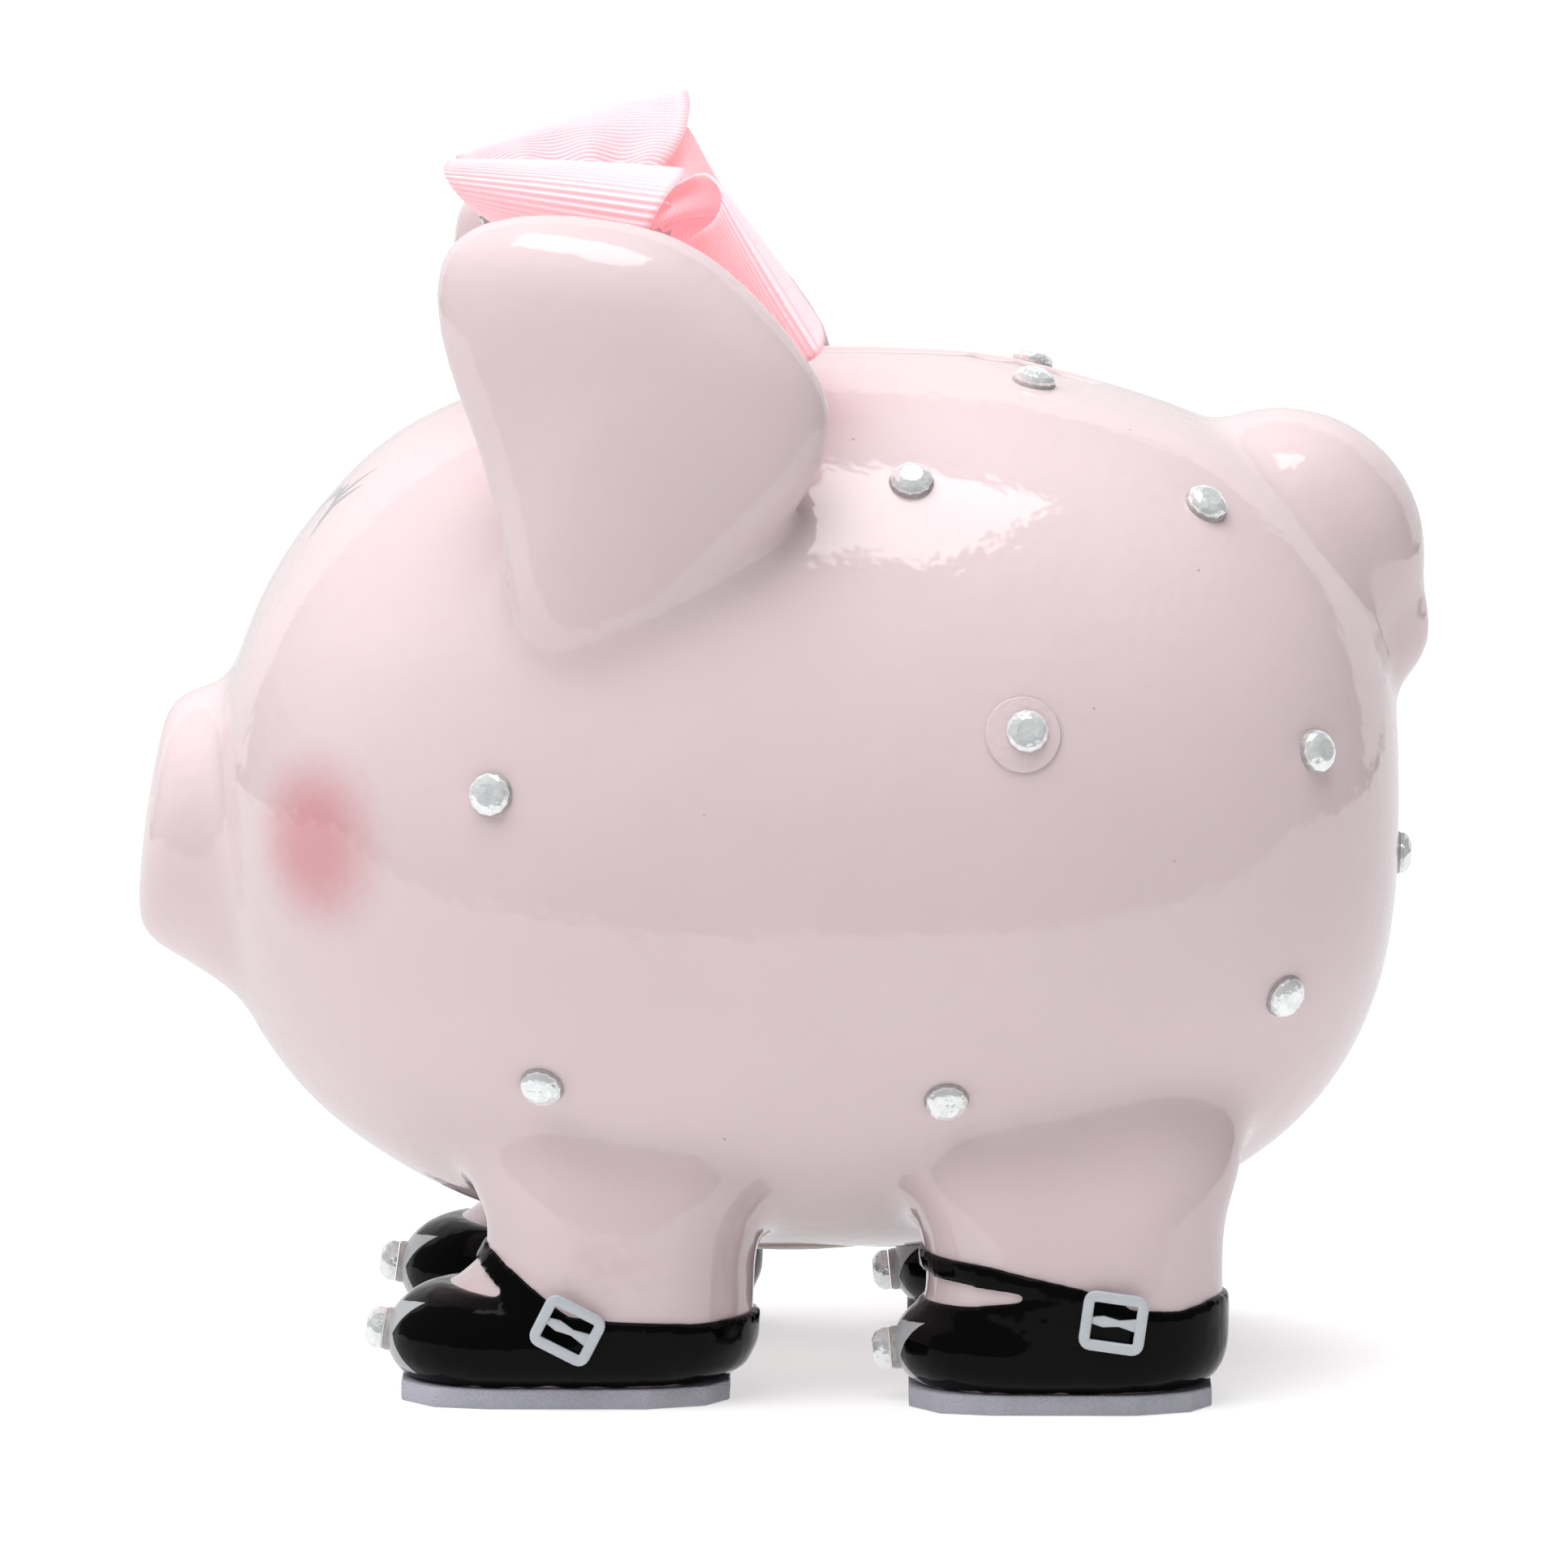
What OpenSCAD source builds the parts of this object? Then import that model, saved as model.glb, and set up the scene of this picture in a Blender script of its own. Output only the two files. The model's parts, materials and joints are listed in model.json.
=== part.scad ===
// Ceramic piggy bank in buckled shoes, with stuck-on stones and a ribbon bow.
// Frame: the pig faces -Y, its left side is +X, up is +Z, and the ground is z = 0.

/* [Body casting] */
// Length of the round body, from the face to the rump
body_len = 184; // [176:1:188]
// Height and width of the round body
body_dia = 140; // [130:1:146]
// How square the face end of the body's outline is: 2 is an ellipse
face_fullness = 2.4; // [2.2:0.1:2.6]
// How square the rump end of the body's outline is
rump_fullness = 2.8; // [2.4:0.1:3]
// Height of the belly above the ground
belly_gap = 18; // [17:0.5:20]
// Thickness of the cast wall
wall = 4.5; // [3.5:0.5:6]

/* [Snout] */
// Diameter of the snout's front disc
snout_dia = 41; // [36:1:46]
// Diameter of the snout where it meets the face
snout_root_dia = 50; // [46:1:56]
// How far the snout tips up, in degrees
snout_tilt = 8; // [0:1:12]

/* [Coin slot] */
// Length of the coin slot in the back
slot_len = 45; // [36:1:48]
// Width of the coin slot
slot_w = 7; // [5:0.5:8]

/* [Belly stopper] */
// Diameter of the hole in the belly
stopper_hole_dia = 28; // [24:1:30]
// Diameter of the stopper's flange
stopper_flange_dia = 34; // [32:1:36]

/* [Ears and tail] */
// Thickness of an ear
ear_thick = 15; // [12:1:16]
// How far an ear leans in towards the top of the head, in degrees
ear_lean = 8; // [0:1:9]
// Diameter of the tail's curl
tail_dia = 47; // [40:1:48]

/* [Shoes] */
// Length of a front shoe
front_shoe_len = 55.5; // [54:0.5:58]
// Length of a rear shoe
rear_shoe_len = 51.5; // [50:0.5:54]
// Width of a shoe
shoe_w = 37; // [34:1:38]
// Thickness of a sole pad
pad_thick = 2.5; // [2:0.5:4]
// Width of a shoe buckle
buckle_w = 10; // [9:0.5:12]

/* [Stones and bow] */
// Diameter of a stuck-on stone
stone_dia = 6.5; // [4:0.5:8]
// Diameter of the brooch on the bow
brooch_dia = 16; // [14:1:18]

/* [Hidden] */
feet = [["front_left", 1, 1], ["front_right", -1, 1], ["rear_left", 1, 0], ["rear_right", -1, 0]];

skin = "#efcfd2";
gloss_black = "#101012";
pad_grey = "#a9a7b4";
ribbon_pink = "#f9c3cb";
crystal = "#dfe8ea";
silver = "#c3c3c0";

// The body: two half superellipses turned about the Y axis, which meet at body_y
body_y = 1;
face_len = 0.4875 * body_len;
rump_len = body_len - face_len;
half_dia = body_dia / 2;
body_z = belly_gap + half_dia;
outline_steps = 36;

// Legs and shoes
front_shoe_x = 36;
rear_shoe_x = 42;
front_toe_y = -61;
rear_toe_y = 16.7;
front_buckle_y = -32.7;
rear_buckle_y = 50.4;
toe_h = 16;
heel_h = 13.5;
shoe_r = shoe_w / 2;
leg_r = shoe_r - 0.6;
leg_top_z = 74;
leg_top_r = 14.5;
strap_h = 4.5;
strap_thick = 1.6;
strap_rise = 14;

// Belly stopper
seat_z = belly_gap + 2.8;
hole_top_z = seat_z + 6;
seat_dia = stopper_flange_dia + 1.5;
boss_dia = stopper_hole_dia + 11;
neck_gap = 0.2;
flange_gap = 0.15;
flange_thick = 2.2;
neck_h = 8.2;

// Stones on a flank: the place along the body, and the angle above level around it
flank_stones = [[-44, 7], [37, 15], [19.6, 50], [64.5, 54], [38.6, 77],
                [81.2, 15], [-36.6, -35], [25, -35], [76.6, -28]];
rump_stone_z = 79.5;
stone_h = 1.1;
stone_dome_h = 1.3;
stone_gap = 0.03;

slot_y = 25;
snout_y = -97.5;
snout_z = 86;

function power_of(v, e) = sign(v) * pow(abs(v), e);
function fullness(t) = t < 90 ? face_fullness : rump_fullness;
// Half of the outline: distance from the axis, and place along it, at the angle t from the face
function outline(inset) = [for (i = [0:outline_steps])
    let (t = 180 * i / outline_steps, e = 2 / fullness(t), len = t < 90 ? face_len : rump_len)
    [(half_dia - inset) * power_of(sin(t), e), -(len - inset) * power_of(cos(t), e)]];

function end_len(y) = y < body_y ? face_len : rump_len;
function end_power(y) = y < body_y ? face_fullness : rump_fullness;
function share(y) = (y - body_y) / end_len(y);
function ring_r(y) = half_dia * pow(1 - pow(abs(share(y)), end_power(y)), 1 / end_power(y));
// Slope of the body's surface at y, as the angle of its normal towards +Y
function surface_lean(y) = atan2(power_of(share(y), end_power(y) - 1) / end_len(y),
                                 pow(ring_r(y) / half_dia, end_power(y) - 1) / half_dia);

module egg(inset = 0) {
    translate([0, body_y, body_z]) rotate([-90, 0, 0])
        rotate_extrude($fn = 96) polygon(outline(inset));
}

module body_outer() { egg(); }

// The snout: a short cone with a rounded rim, its disc tipped up
module snout(inset = 0) {
    rim = 3;
    r0 = snout_root_dia / 2 - inset;
    r1 = snout_dia / 2 - inset;
    depth = 24;
    translate([0, snout_y, snout_z]) rotate([90 - snout_tilt, 0, 0]) rotate_extrude($fn = 96)
        polygon(concat([[0, -depth], [r0 + 2, -depth], [r0 - 1.5, -depth + 12]],
            [for (i = [0:6]) let (t = 90 * i / 6)
                [r1 - rim + rim * cos(t), -rim - inset + rim * sin(t)]],
            [[0, -inset]]));
}

module body_shell() {
    color(skin) difference() {
        union() {
            difference() {
                union() { body_outer(); snout(); }
                egg(wall);
                snout(wall);
            }
            // Thickened ring round the belly hole
            intersection() {
                body_outer();
                translate([0, body_y, belly_gap])
                    cylinder(d = boss_dia, h = hole_top_z - belly_gap, $fn = 96);
            }
        }
        translate([0, body_y, belly_gap - 1])
            cylinder(d = stopper_hole_dia, h = hole_top_z - belly_gap + 2, $fn = 96);
        translate([0, body_y, belly_gap - 1]) cylinder(d = seat_dia, h = seat_z - belly_gap + 1, $fn = 96);
        coin_slot();
    }
}

module coin_slot() {
    slot_depth = 30;
    translate([-slot_w / 2, slot_y - slot_len / 2 + slot_w / 2, body_z + half_dia - slot_depth])
        cube([slot_w, slot_len - slot_w, slot_depth + 5]);
    for (s = [-1, 1])
        translate([0, slot_y + s * (slot_len - slot_w) / 2, body_z + half_dia - slot_depth])
            cylinder(d = slot_w, h = slot_depth + 5, $fn = 48);
}

// An ear's rim: the place of each round corner, seen from the side, with its radius
ear_x = 56;
ear_root_z = 125;
ear_corners = [[-43, 173, 9], [-29, 172.5, 9.7], [-11, 165, 10], [-4.2, 153.5, 11],
               [-18, 136, 12], [-30, 132, 12]];

// An ear: a thick rounded leaf that rises from the side of the head, cut to the body's surface
module ear(side) {
    color(skin) difference() {
        translate([side * ear_x, 0, ear_root_z]) rotate([0, -side * ear_lean, 0])
            hull() for (c = ear_corners)
                translate([0, c[0], c[1] - ear_root_z])
                    scale([ear_thick / 2 / c[2], 1, 1]) sphere(r = c[2], $fn = 28);
        body_outer();
    }
}
module left_ear() { ear(1); }
module right_ear() { ear(-1); }

// The tail: one fat curl laid on the rump, with its end tucked under
module tail() {
    color(skin) difference() {
        union() {
            translate([0, 75.5, 125]) sphere(d = tail_dia, $fn = 96);
            translate([0, 87.8, 114.5]) sphere(d = tail_dia / 2, $fn = 96);
        }
        body_outer();
    }
}

function foot_x(f) = f[1] * (f[2] ? front_shoe_x : rear_shoe_x);
function foot_toe_y(f) = f[2] ? front_toe_y : rear_toe_y;
function foot_len(f) = f[2] ? front_shoe_len : rear_shoe_len;
function buckle_y(f) = f[2] ? front_buckle_y : rear_buckle_y;
function foot_heel_y(f) = foot_toe_y(f) + foot_len(f);
// A leg is longer than it is wide: its two round ends stand this far from its middle
function leg_half(f) = f[2] ? 3 : 5;
function leg_y(f) = foot_heel_y(f) - leg_r - leg_half(f);

// A stub with two round ends, from a bottom radius to a top radius
module stub(f, r1, r2, h) {
    for (s = [-1, 1]) translate([0, s * leg_half(f), 0]) cylinder(r1 = r1, r2 = r2, h = h, $fn = 64);
    rotate([90, 0, 0]) linear_extrude(2 * leg_half(f), center = true)
        polygon([[-r1, 0], [r1, 0], [r2, h], [-r2, h]]);
}

// A leg: a tapering stub that stands in its shoe and meets the belly
module leg(f) {
    color(skin) difference() {
        translate([foot_x(f), leg_y(f), heel_h - 2]) stub(f, leg_r, leg_top_r, leg_top_z - heel_h);
        shoe_form(f);
        body_outer();
    }
}

// Half of a shoe's cross-section: a sole edge, an upright side and a rounded top
shoe_edge = 5;
function shoe_side(r, h) = concat([[r - 2, 0], [r, 3]],
    [for (i = [0:4]) let (t = 90 * i / 4) [r - shoe_edge * (1 - cos(t)), h - shoe_edge * (1 - sin(t))]]);
function mirrored(points) = [for (i = [len(points) - 1:-1:0]) [-points[i][0], points[i][1]]];

// The toe or the heel of a shoe
module puck(h) {
    rotate_extrude($fn = 64) polygon(concat([[0, 0]], shoe_side(shoe_r, h), [[0, h]]));
}

module strap(f) {
    translate([foot_x(f), leg_y(f), heel_h + 3.5])
        rotate([-strap_rise, 0, 0]) translate([0, 0, -strap_h / 2]) difference() {
            stub(f, leg_r + strap_thick / 2, leg_r + strap_thick / 2, strap_h);
            translate([0, 0, -0.5]) stub(f, leg_r - strap_thick, leg_r - strap_thick, strap_h + 1);
        }
}

// The buckle stands on the outer side of the shoe
module buckle(f) {
    buckle_thick = 2.4;
    translate([foot_x(f) + f[1] * (shoe_r + 0.2), buckle_y(f), pad_thick + 8])
        cube([buckle_thick, buckle_w, buckle_w - 1], center = true);
}

module shoe_form(f) {
    toe_y = foot_toe_y(f) + shoe_r;
    heel_y = foot_heel_y(f) - shoe_r;
    middle = shoe_side(shoe_r, heel_h - pad_thick);
    translate([foot_x(f), 0, pad_thick]) {
        translate([0, toe_y, 0]) puck(toe_h - pad_thick);
        translate([0, heel_y, 0]) puck(heel_h - pad_thick);
        translate([0, heel_y, 0]) rotate([90, 0, 0]) linear_extrude(heel_y - toe_y)
            polygon(concat(middle, mirrored(middle)));
    }
    strap(f);
    buckle(f);
}

module shoe(f) { color(gloss_black) shoe_form(f); }

module sole_pad(f) {
    inset = 2.6;
    r = shoe_r - inset;
    toe_y = foot_toe_y(f) + shoe_r;
    heel_y = foot_heel_y(f) - shoe_r;
    color(pad_grey) translate([foot_x(f), 0, 0]) union() {
        for (y = [toe_y, heel_y]) translate([0, y, 0]) cylinder(r = r, h = pad_thick, $fn = 64);
        translate([-r, toe_y, 0]) cube([2 * r, heel_y - toe_y, pad_thick]);
    }
}

// The rubber stopper: a flange in the seat, and a neck up through the hole
module belly_stopper() {
    neck_r = stopper_hole_dia / 2 - neck_gap;
    pull_r = 5;
    color("#e8e2dc") translate([0, body_y, seat_z - flange_gap]) difference() {
        union() {
            translate([0, 0, -flange_thick]) cylinder(d = stopper_flange_dia, h = flange_thick, $fn = 96);
            cylinder(r = neck_r, h = neck_h - 1.5, $fn = 96);
            translate([0, 0, neck_h - 1.5]) cylinder(r1 = neck_r, r2 = neck_r - 1.2, h = 1.5, $fn = 96);
        }
        // The neck is a cup, open to the inside of the bank
        translate([0, 0, 1.2]) cylinder(r = neck_r - 3, h = neck_h, $fn = 96);
        // Finger hollow round the pull in the middle of the flange
        translate([0, 0, -flange_thick - 0.1]) difference() {
            cylinder(r = pull_r + 3, h = 1.3, $fn = 64);
            cylinder(r = pull_r, h = 2, $fn = 64);
        }
    }
}

// A flat-backed stone: a short girdle and a dome, standing along +Z
module stone(d) {
    r = d / 2;
    dome_r = (r * r + stone_dome_h * stone_dome_h) / (2 * stone_dome_h);
    cylinder(d = d, h = stone_h, $fn = 32);
    translate([0, 0, stone_h]) intersection() {
        translate([0, 0, stone_dome_h - dome_r]) sphere(r = dome_r, $fn = 48);
        cylinder(d = d, h = stone_dome_h, $fn = 32);
    }
}

// Puts its children on the body's surface at y, at an angle above level on one side
module on_body(y, angle, side) {
    translate([0, y, body_z]) mirror([side < 0 ? 1 : 0, 0, 0]) rotate([0, -angle, 0])
        translate([ring_r(y) + stone_gap, 0, 0])
            rotate([0, 0, surface_lean(y)]) rotate([0, 90, 0]) children();
}

module flank_set(side) {
    color(crystal) for (s = flank_stones) on_body(s[0], s[1], side) stone(stone_dia);
}
module left_flank_stones() { flank_set(1); }
module right_flank_stones() { flank_set(-1); }

module rump_stone() {
    color(crystal) translate([0, body_y + rump_len + stone_gap, rump_stone_z])
        rotate([-90, 0, 0]) stone(stone_dia);
}

// A toe stone's height above the pad: the rear shoes wear theirs lower
function toe_stone_h(f) = f[2] ? 8 : 5.5;
module toe_stones() {
    color(crystal) for (f = feet)
        translate([foot_x(f), foot_toe_y(f) - stone_gap, pad_thick + toe_stone_h(f)])
            rotate([90, 0, 0]) stone(stone_dia);
}

// One ribbon loop as a plain wedge round its six corners
module loop_form(corners, side) {
    color(ribbon_pink) hull() for (c = corners)
        translate([side * c[0], c[1], c[2]]) sphere(r = 1.5, $fn = 16);
}
front_loop_corners = [[8, -50, 188], [8, -44, 177], [42, -17, 190],
                      [37, -17, 181], [29, -20, 172], [9, -20, 184]];
rear_loop_corners = [[9, -16, 186], [28, -15, 187], [40, -12, 178],
                     [40, 2, 165], [28, 0, 162], [9, -1, 168]];
module bow_front_left_loop() { loop_form(front_loop_corners, 1); }
module bow_front_right_loop() { loop_form(front_loop_corners, -1); }
module bow_rear_left_loop() { loop_form(rear_loop_corners, 1); }
module bow_rear_right_loop() { loop_form(rear_loop_corners, -1); }

// The wrapped middle of the bow, stuck to the top of the head
module bow_knot() {
    color(ribbon_pink) difference() {
        hull() {
            for (x = [-3, 3]) {
                translate([x, -41, 177]) sphere(r = 2.5, $fn = 20);
                translate([x, -8, 176]) sphere(r = 2.5, $fn = 20);
                translate([x, -34, 152]) sphere(r = 2.5, $fn = 20);
                translate([x, -14, 154]) sphere(r = 2.5, $fn = 20);
            }
        }
        body_outer();
    }
}

// The brooch faces forward and a little down, on the front of the bow
brooch_at = [0, -45, 174];
brooch_lean = 110;
brooch_back = 2;
module brooch_place() { translate(brooch_at) rotate([brooch_lean, 0, 0]) children(); }
module brooch_setting() {
    color(silver) brooch_place() cylinder(d = brooch_dia, h = brooch_back, $fn = 64);
}
module brooch_stones() {
    ring_stones = 10;
    small = 3.4;
    color(crystal) brooch_place() translate([0, 0, brooch_back]) {
        stone(stone_dia);
        for (i = [0:ring_stones - 1]) rotate([0, 0, 360 * i / ring_stones])
            translate([brooch_dia / 2 - small / 2 - 0.3, 0, 0])
                scale(small / stone_dia) stone(stone_dia);
    }
}

body_shell();
left_ear();
right_ear();
tail();
for (f = feet) {
    leg(f);
    shoe(f);
    sole_pad(f);
}
belly_stopper();
left_flank_stones();
right_flank_stones();
rump_stone();
toe_stones();
bow_front_left_loop();
bow_front_right_loop();
bow_rear_left_loop();
bow_rear_right_loop();
bow_knot();
brooch_setting();
brooch_stones();
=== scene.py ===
"""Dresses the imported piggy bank: glazed skin, shoes, stones, ribbon bow, stopper and a plain stage."""

import json
from math import ceil, cos, pi, radians, sin, sqrt

import bmesh
import bpy
from bpy.props import FloatProperty, FloatVectorProperty, IntProperty, PointerProperty
from mathutils import Matrix, Vector


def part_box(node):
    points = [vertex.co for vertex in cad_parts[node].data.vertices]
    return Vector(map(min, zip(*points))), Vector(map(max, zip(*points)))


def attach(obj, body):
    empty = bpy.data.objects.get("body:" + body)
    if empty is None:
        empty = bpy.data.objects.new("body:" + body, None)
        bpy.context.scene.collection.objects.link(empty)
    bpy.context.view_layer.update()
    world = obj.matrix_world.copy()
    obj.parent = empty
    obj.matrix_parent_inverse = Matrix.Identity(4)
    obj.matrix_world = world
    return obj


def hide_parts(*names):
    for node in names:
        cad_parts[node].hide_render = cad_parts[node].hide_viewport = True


bl_info = {
    "name": "Piggy bank dresser",
    "version": (1, 0, 0),
    "blender": (4, 5, 0),
    "location": "View3D > Sidebar > Piggy bank",
    "description": "Models the glazed casting, shoes, stones and bow of a ceramic piggy bank",
    "category": "Object",
}

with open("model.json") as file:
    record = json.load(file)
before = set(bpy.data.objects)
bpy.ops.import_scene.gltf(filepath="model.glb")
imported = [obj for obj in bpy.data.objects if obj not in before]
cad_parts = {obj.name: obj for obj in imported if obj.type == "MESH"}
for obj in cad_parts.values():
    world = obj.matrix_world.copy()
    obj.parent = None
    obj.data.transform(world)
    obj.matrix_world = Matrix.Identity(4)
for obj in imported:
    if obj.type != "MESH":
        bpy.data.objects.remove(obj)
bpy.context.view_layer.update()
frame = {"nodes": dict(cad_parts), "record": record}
MM = 0.001
UP = Vector((0, 0, 1))

# The casting, in millimetres: it faces -Y, its left side is +X
FACE_LEN, FACE_FULLNESS = 89.7, 2.4
RUMP_LEN, RUMP_FULLNESS = 94.3, 2.8
WALL = 4.5
EAR_X, EAR_LEAN = 56, 8
STOPPER_SEAT_DEPTH = 2.8
PAD_INSET = 2.6
SIDES = {"left": 1, "right": -1}


def mm(x, y, z):
    """A place given in millimetres, in metres."""
    return Vector((x, y, z)) * MM


def box_mm(node):
    """A CAD node's lowest and highest corners, in millimetres."""
    low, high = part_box(node)
    return low / MM, high / MM


BODY_LOW, BODY_HIGH = box_mm("body_shell")
BODY_RADIUS = (BODY_HIGH.x - BODY_LOW.x) / 2
BODY_Y = BODY_HIGH.y - RUMP_LEN
BODY_Z = BODY_LOW.z + BODY_RADIUS


# ---------------------------------------------------------------- modelling helpers


def deselect():
    """Leaves edit mode, with nothing selected."""
    if bpy.context.object and bpy.context.object.mode == "EDIT":
        bpy.ops.object.mode_set(mode="OBJECT")
    bpy.ops.object.select_all(action="DESELECT")


def only(*objects):
    """Selects these objects alone, the first one active."""
    deselect()
    for obj in objects:
        obj.select_set(True)
    bpy.context.view_layer.objects.active = objects[0]


def edit(obj):
    """Opens one object in edit mode."""
    only(obj)
    bpy.ops.object.mode_set(mode="EDIT")


def place(obj):
    """Ends the editing, and leaves the object at the origin with its place in its mesh."""
    only(obj)
    bpy.ops.object.transform_apply(location=True, rotation=True, scale=True)
    return obj


def named(obj, name):
    """Gives an object and its mesh the same name."""
    obj.name = name
    obj.data.name = name
    return obj


def pick(obj, test, kind="VERT"):
    """In edit mode, selects the vertices, edges or faces whose middle passes the test, in millimetres."""
    bpy.ops.mesh.select_mode(type=kind)
    bpy.ops.mesh.select_all(action="DESELECT")
    mesh = bmesh.from_edit_mesh(obj.data)
    parts = {"VERT": mesh.verts, "EDGE": mesh.edges, "FACE": mesh.faces}[kind]
    for part in parts:
        corners = [part] if kind == "VERT" else part.verts
        middle = sum((v.co for v in corners), Vector()) / len(corners)
        part.select_set(bool(test(obj.matrix_world @ middle / MM)))
    mesh.select_flush_mode()
    bmesh.update_edit_mesh(obj.data)


def close_up(obj):
    """Merges what spin and mirror leave double, and turns the faces outwards."""
    edit(obj)
    bpy.ops.mesh.select_all(action="SELECT")
    bpy.ops.mesh.remove_doubles(threshold=0.01 * MM)
    bpy.ops.mesh.normals_make_consistent(inside=False)
    return place(obj)


def chain(name, points):
    """A line of edges, drawn by extruding one vertex from point to point, left in edit mode."""
    deselect()
    bpy.ops.mesh.primitive_plane_add(size=MM, location=points[0])
    obj = named(bpy.context.object, name)
    bpy.ops.object.mode_set(mode="EDIT")
    bpy.ops.mesh.select_mode(type="VERT")
    bpy.ops.mesh.select_all(action="SELECT")
    bpy.ops.mesh.merge(type="CENTER")
    for here, there in zip(points, points[1:]):
        bpy.ops.mesh.extrude_vertices_move(TRANSFORM_OT_translate={"value": there - here})
    return obj


def ring(name, points):
    """A closed line of edges, left in edit mode."""
    obj = chain(name, points + points[:1])
    bpy.ops.mesh.select_all(action="SELECT")
    bpy.ops.mesh.remove_doubles(threshold=0.001 * MM)
    return obj


def turned(name, profile, centre, axis, steps):
    """A closed shape turned round an axis: the profile gives (distance from it, place along it)."""
    axis = Vector(axis).normalized()
    side = axis.orthogonal().normalized()
    if abs(axis.z) > 0.9:
        half_step = pi / steps
        side = Vector((cos(half_step), sin(half_step), 0))
    centre = Vector(centre)
    points = [(centre + side * r + axis * t) * MM for r, t in profile]
    obj = chain(name, points)
    bpy.ops.mesh.select_all(action="SELECT")
    bpy.ops.mesh.spin(steps=steps, angle=2 * pi, center=centre * MM, axis=axis, use_auto_merge=True)
    return close_up(obj)


def slab(name, outline, x, half_width):
    """A prism along X: the outline gives (y, z), and x is its middle."""
    obj = ring(name, [mm(x - half_width, y, z) for y, z in outline])
    bpy.ops.mesh.edge_face_add()
    bpy.ops.mesh.extrude_region_move(TRANSFORM_OT_translate={"value": (2 * half_width * MM, 0, 0)})
    return close_up(obj)


def lengthened(obj, beyond_y, by):
    """Pulls apart a turned shape along Y, so that its round ends stand further from each other."""
    edit(obj)
    pick(obj, lambda p: p.y > beyond_y)
    bpy.ops.transform.translate(value=(0, by * MM, 0))
    return place(obj)


def modified(obj, kind, **settings):
    """Adds one modifier, sets it and applies it."""
    only(obj)
    bpy.ops.object.modifier_add(type=kind)
    modifier = obj.modifiers[-1]
    for key, value in settings.items():
        setattr(modifier, key, value)
    bpy.ops.object.modifier_apply(modifier=modifier.name)
    return obj


def cast(obj, grain, rounding):
    """Makes one skin of overlapping forms, with its creases rounded as a casting's are."""
    modified(obj, "REMESH", mode="VOXEL", voxel_size=grain, use_smooth_shade=True)
    return modified(obj, "SMOOTH", factor=0.5, iterations=rounding)


def boolean(obj, tool, operation="DIFFERENCE"):
    """Cuts or joins with another closed form, which is used up."""
    modified(obj, "BOOLEAN", operation=operation, object=tool, solver="MANIFOLD")
    bpy.data.objects.remove(tool)
    return obj


def joined(name, objects):
    """Several objects as one, under a new name."""
    only(*objects)
    bpy.ops.object.join()
    return named(objects[0], name)


def duplicate(obj, name, matrix=Matrix.Identity(4)):
    """A copy with its own mesh, moved by the matrix."""
    other = named(bpy.data.objects.new(name, obj.data.copy()), name)
    bpy.context.scene.collection.objects.link(other)
    other.data.transform(matrix)
    if matrix.determinant() < 0:
        other.data.flip_normals()
    return other


def smooth(obj, angle=40):
    """Smooth shading, with edges kept where the faces turn by more than the angle."""
    only(obj)
    bpy.ops.object.shade_smooth_by_angle(angle=radians(angle))
    return obj


def dressed(obj, body, slot, material, *nodes):
    """Gives a finished piece its material and its body, and hides the CAD nodes that it stands for."""
    obj.data.materials.clear()
    obj.data.materials.append(material)
    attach(obj, body)
    if nodes:
        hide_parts(*nodes)
    return obj


def along(values, t, closed=False):
    """The place t along a smooth curve through the values, from 0 to 1."""
    count = len(values)
    spans = count if closed else count - 1
    at = min(t * spans, spans - 1e-9)
    i = int(at)
    f = at - i
    if closed:
        a, b, c, d = (values[(i + k) % count] for k in (-1, 0, 1, 2))
    else:
        a, b, c, d = (values[min(max(i + k, 0), count - 1)] for k in (-1, 0, 1, 2))
    return (b * 2 + (c - a) * f + (a * 2 - b * 5 + c * 4 - d) * f ** 2 + (b * 3 - a - c * 3 + d) * f ** 3) / 2


# ---------------------------------------------------------------- shader maths


class Wire:
    """A socket in a material's node tree, so that shader maths is written as Python expressions."""

    def __init__(self, graph, socket):
        self.graph = graph
        self.socket = socket

    def math(self, operation, *others):
        """A Math node on this value and the others."""
        settings = {"operation": operation}
        return self.graph.node("ShaderNodeMath", settings, dict(enumerate((self, *others))))

    def __add__(self, other):
        return self.math("ADD", other)

    __radd__ = __add__

    def __sub__(self, other):
        return self.math("SUBTRACT", other)

    def __rsub__(self, other):
        return (self * -1).math("ADD", other)

    def __mul__(self, other):
        return self.math("MULTIPLY", other)

    __rmul__ = __mul__

    def __truediv__(self, other):
        return self.math("DIVIDE", other)

    def __rtruediv__(self, other):
        return self.graph.node("ShaderNodeMath", {"operation": "DIVIDE"}, {0: other, 1: self})

    def __abs__(self):
        return self.math("ABSOLUTE")

    def fade(self, start, end):
        """1 up to start, falling smoothly to 0 at end; or rising, where start is past end."""
        settings = {"interpolation_type": "SMOOTHSTEP"}
        low, high = min(start, end), max(start, end)
        values = (1, 0) if end > start else (0, 1)
        sockets = {"Value": self, "From Min": low, "From Max": high, "To Min": values[0], "To Max": values[1]}
        return self.graph.node("ShaderNodeMapRange", settings, sockets)


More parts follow.
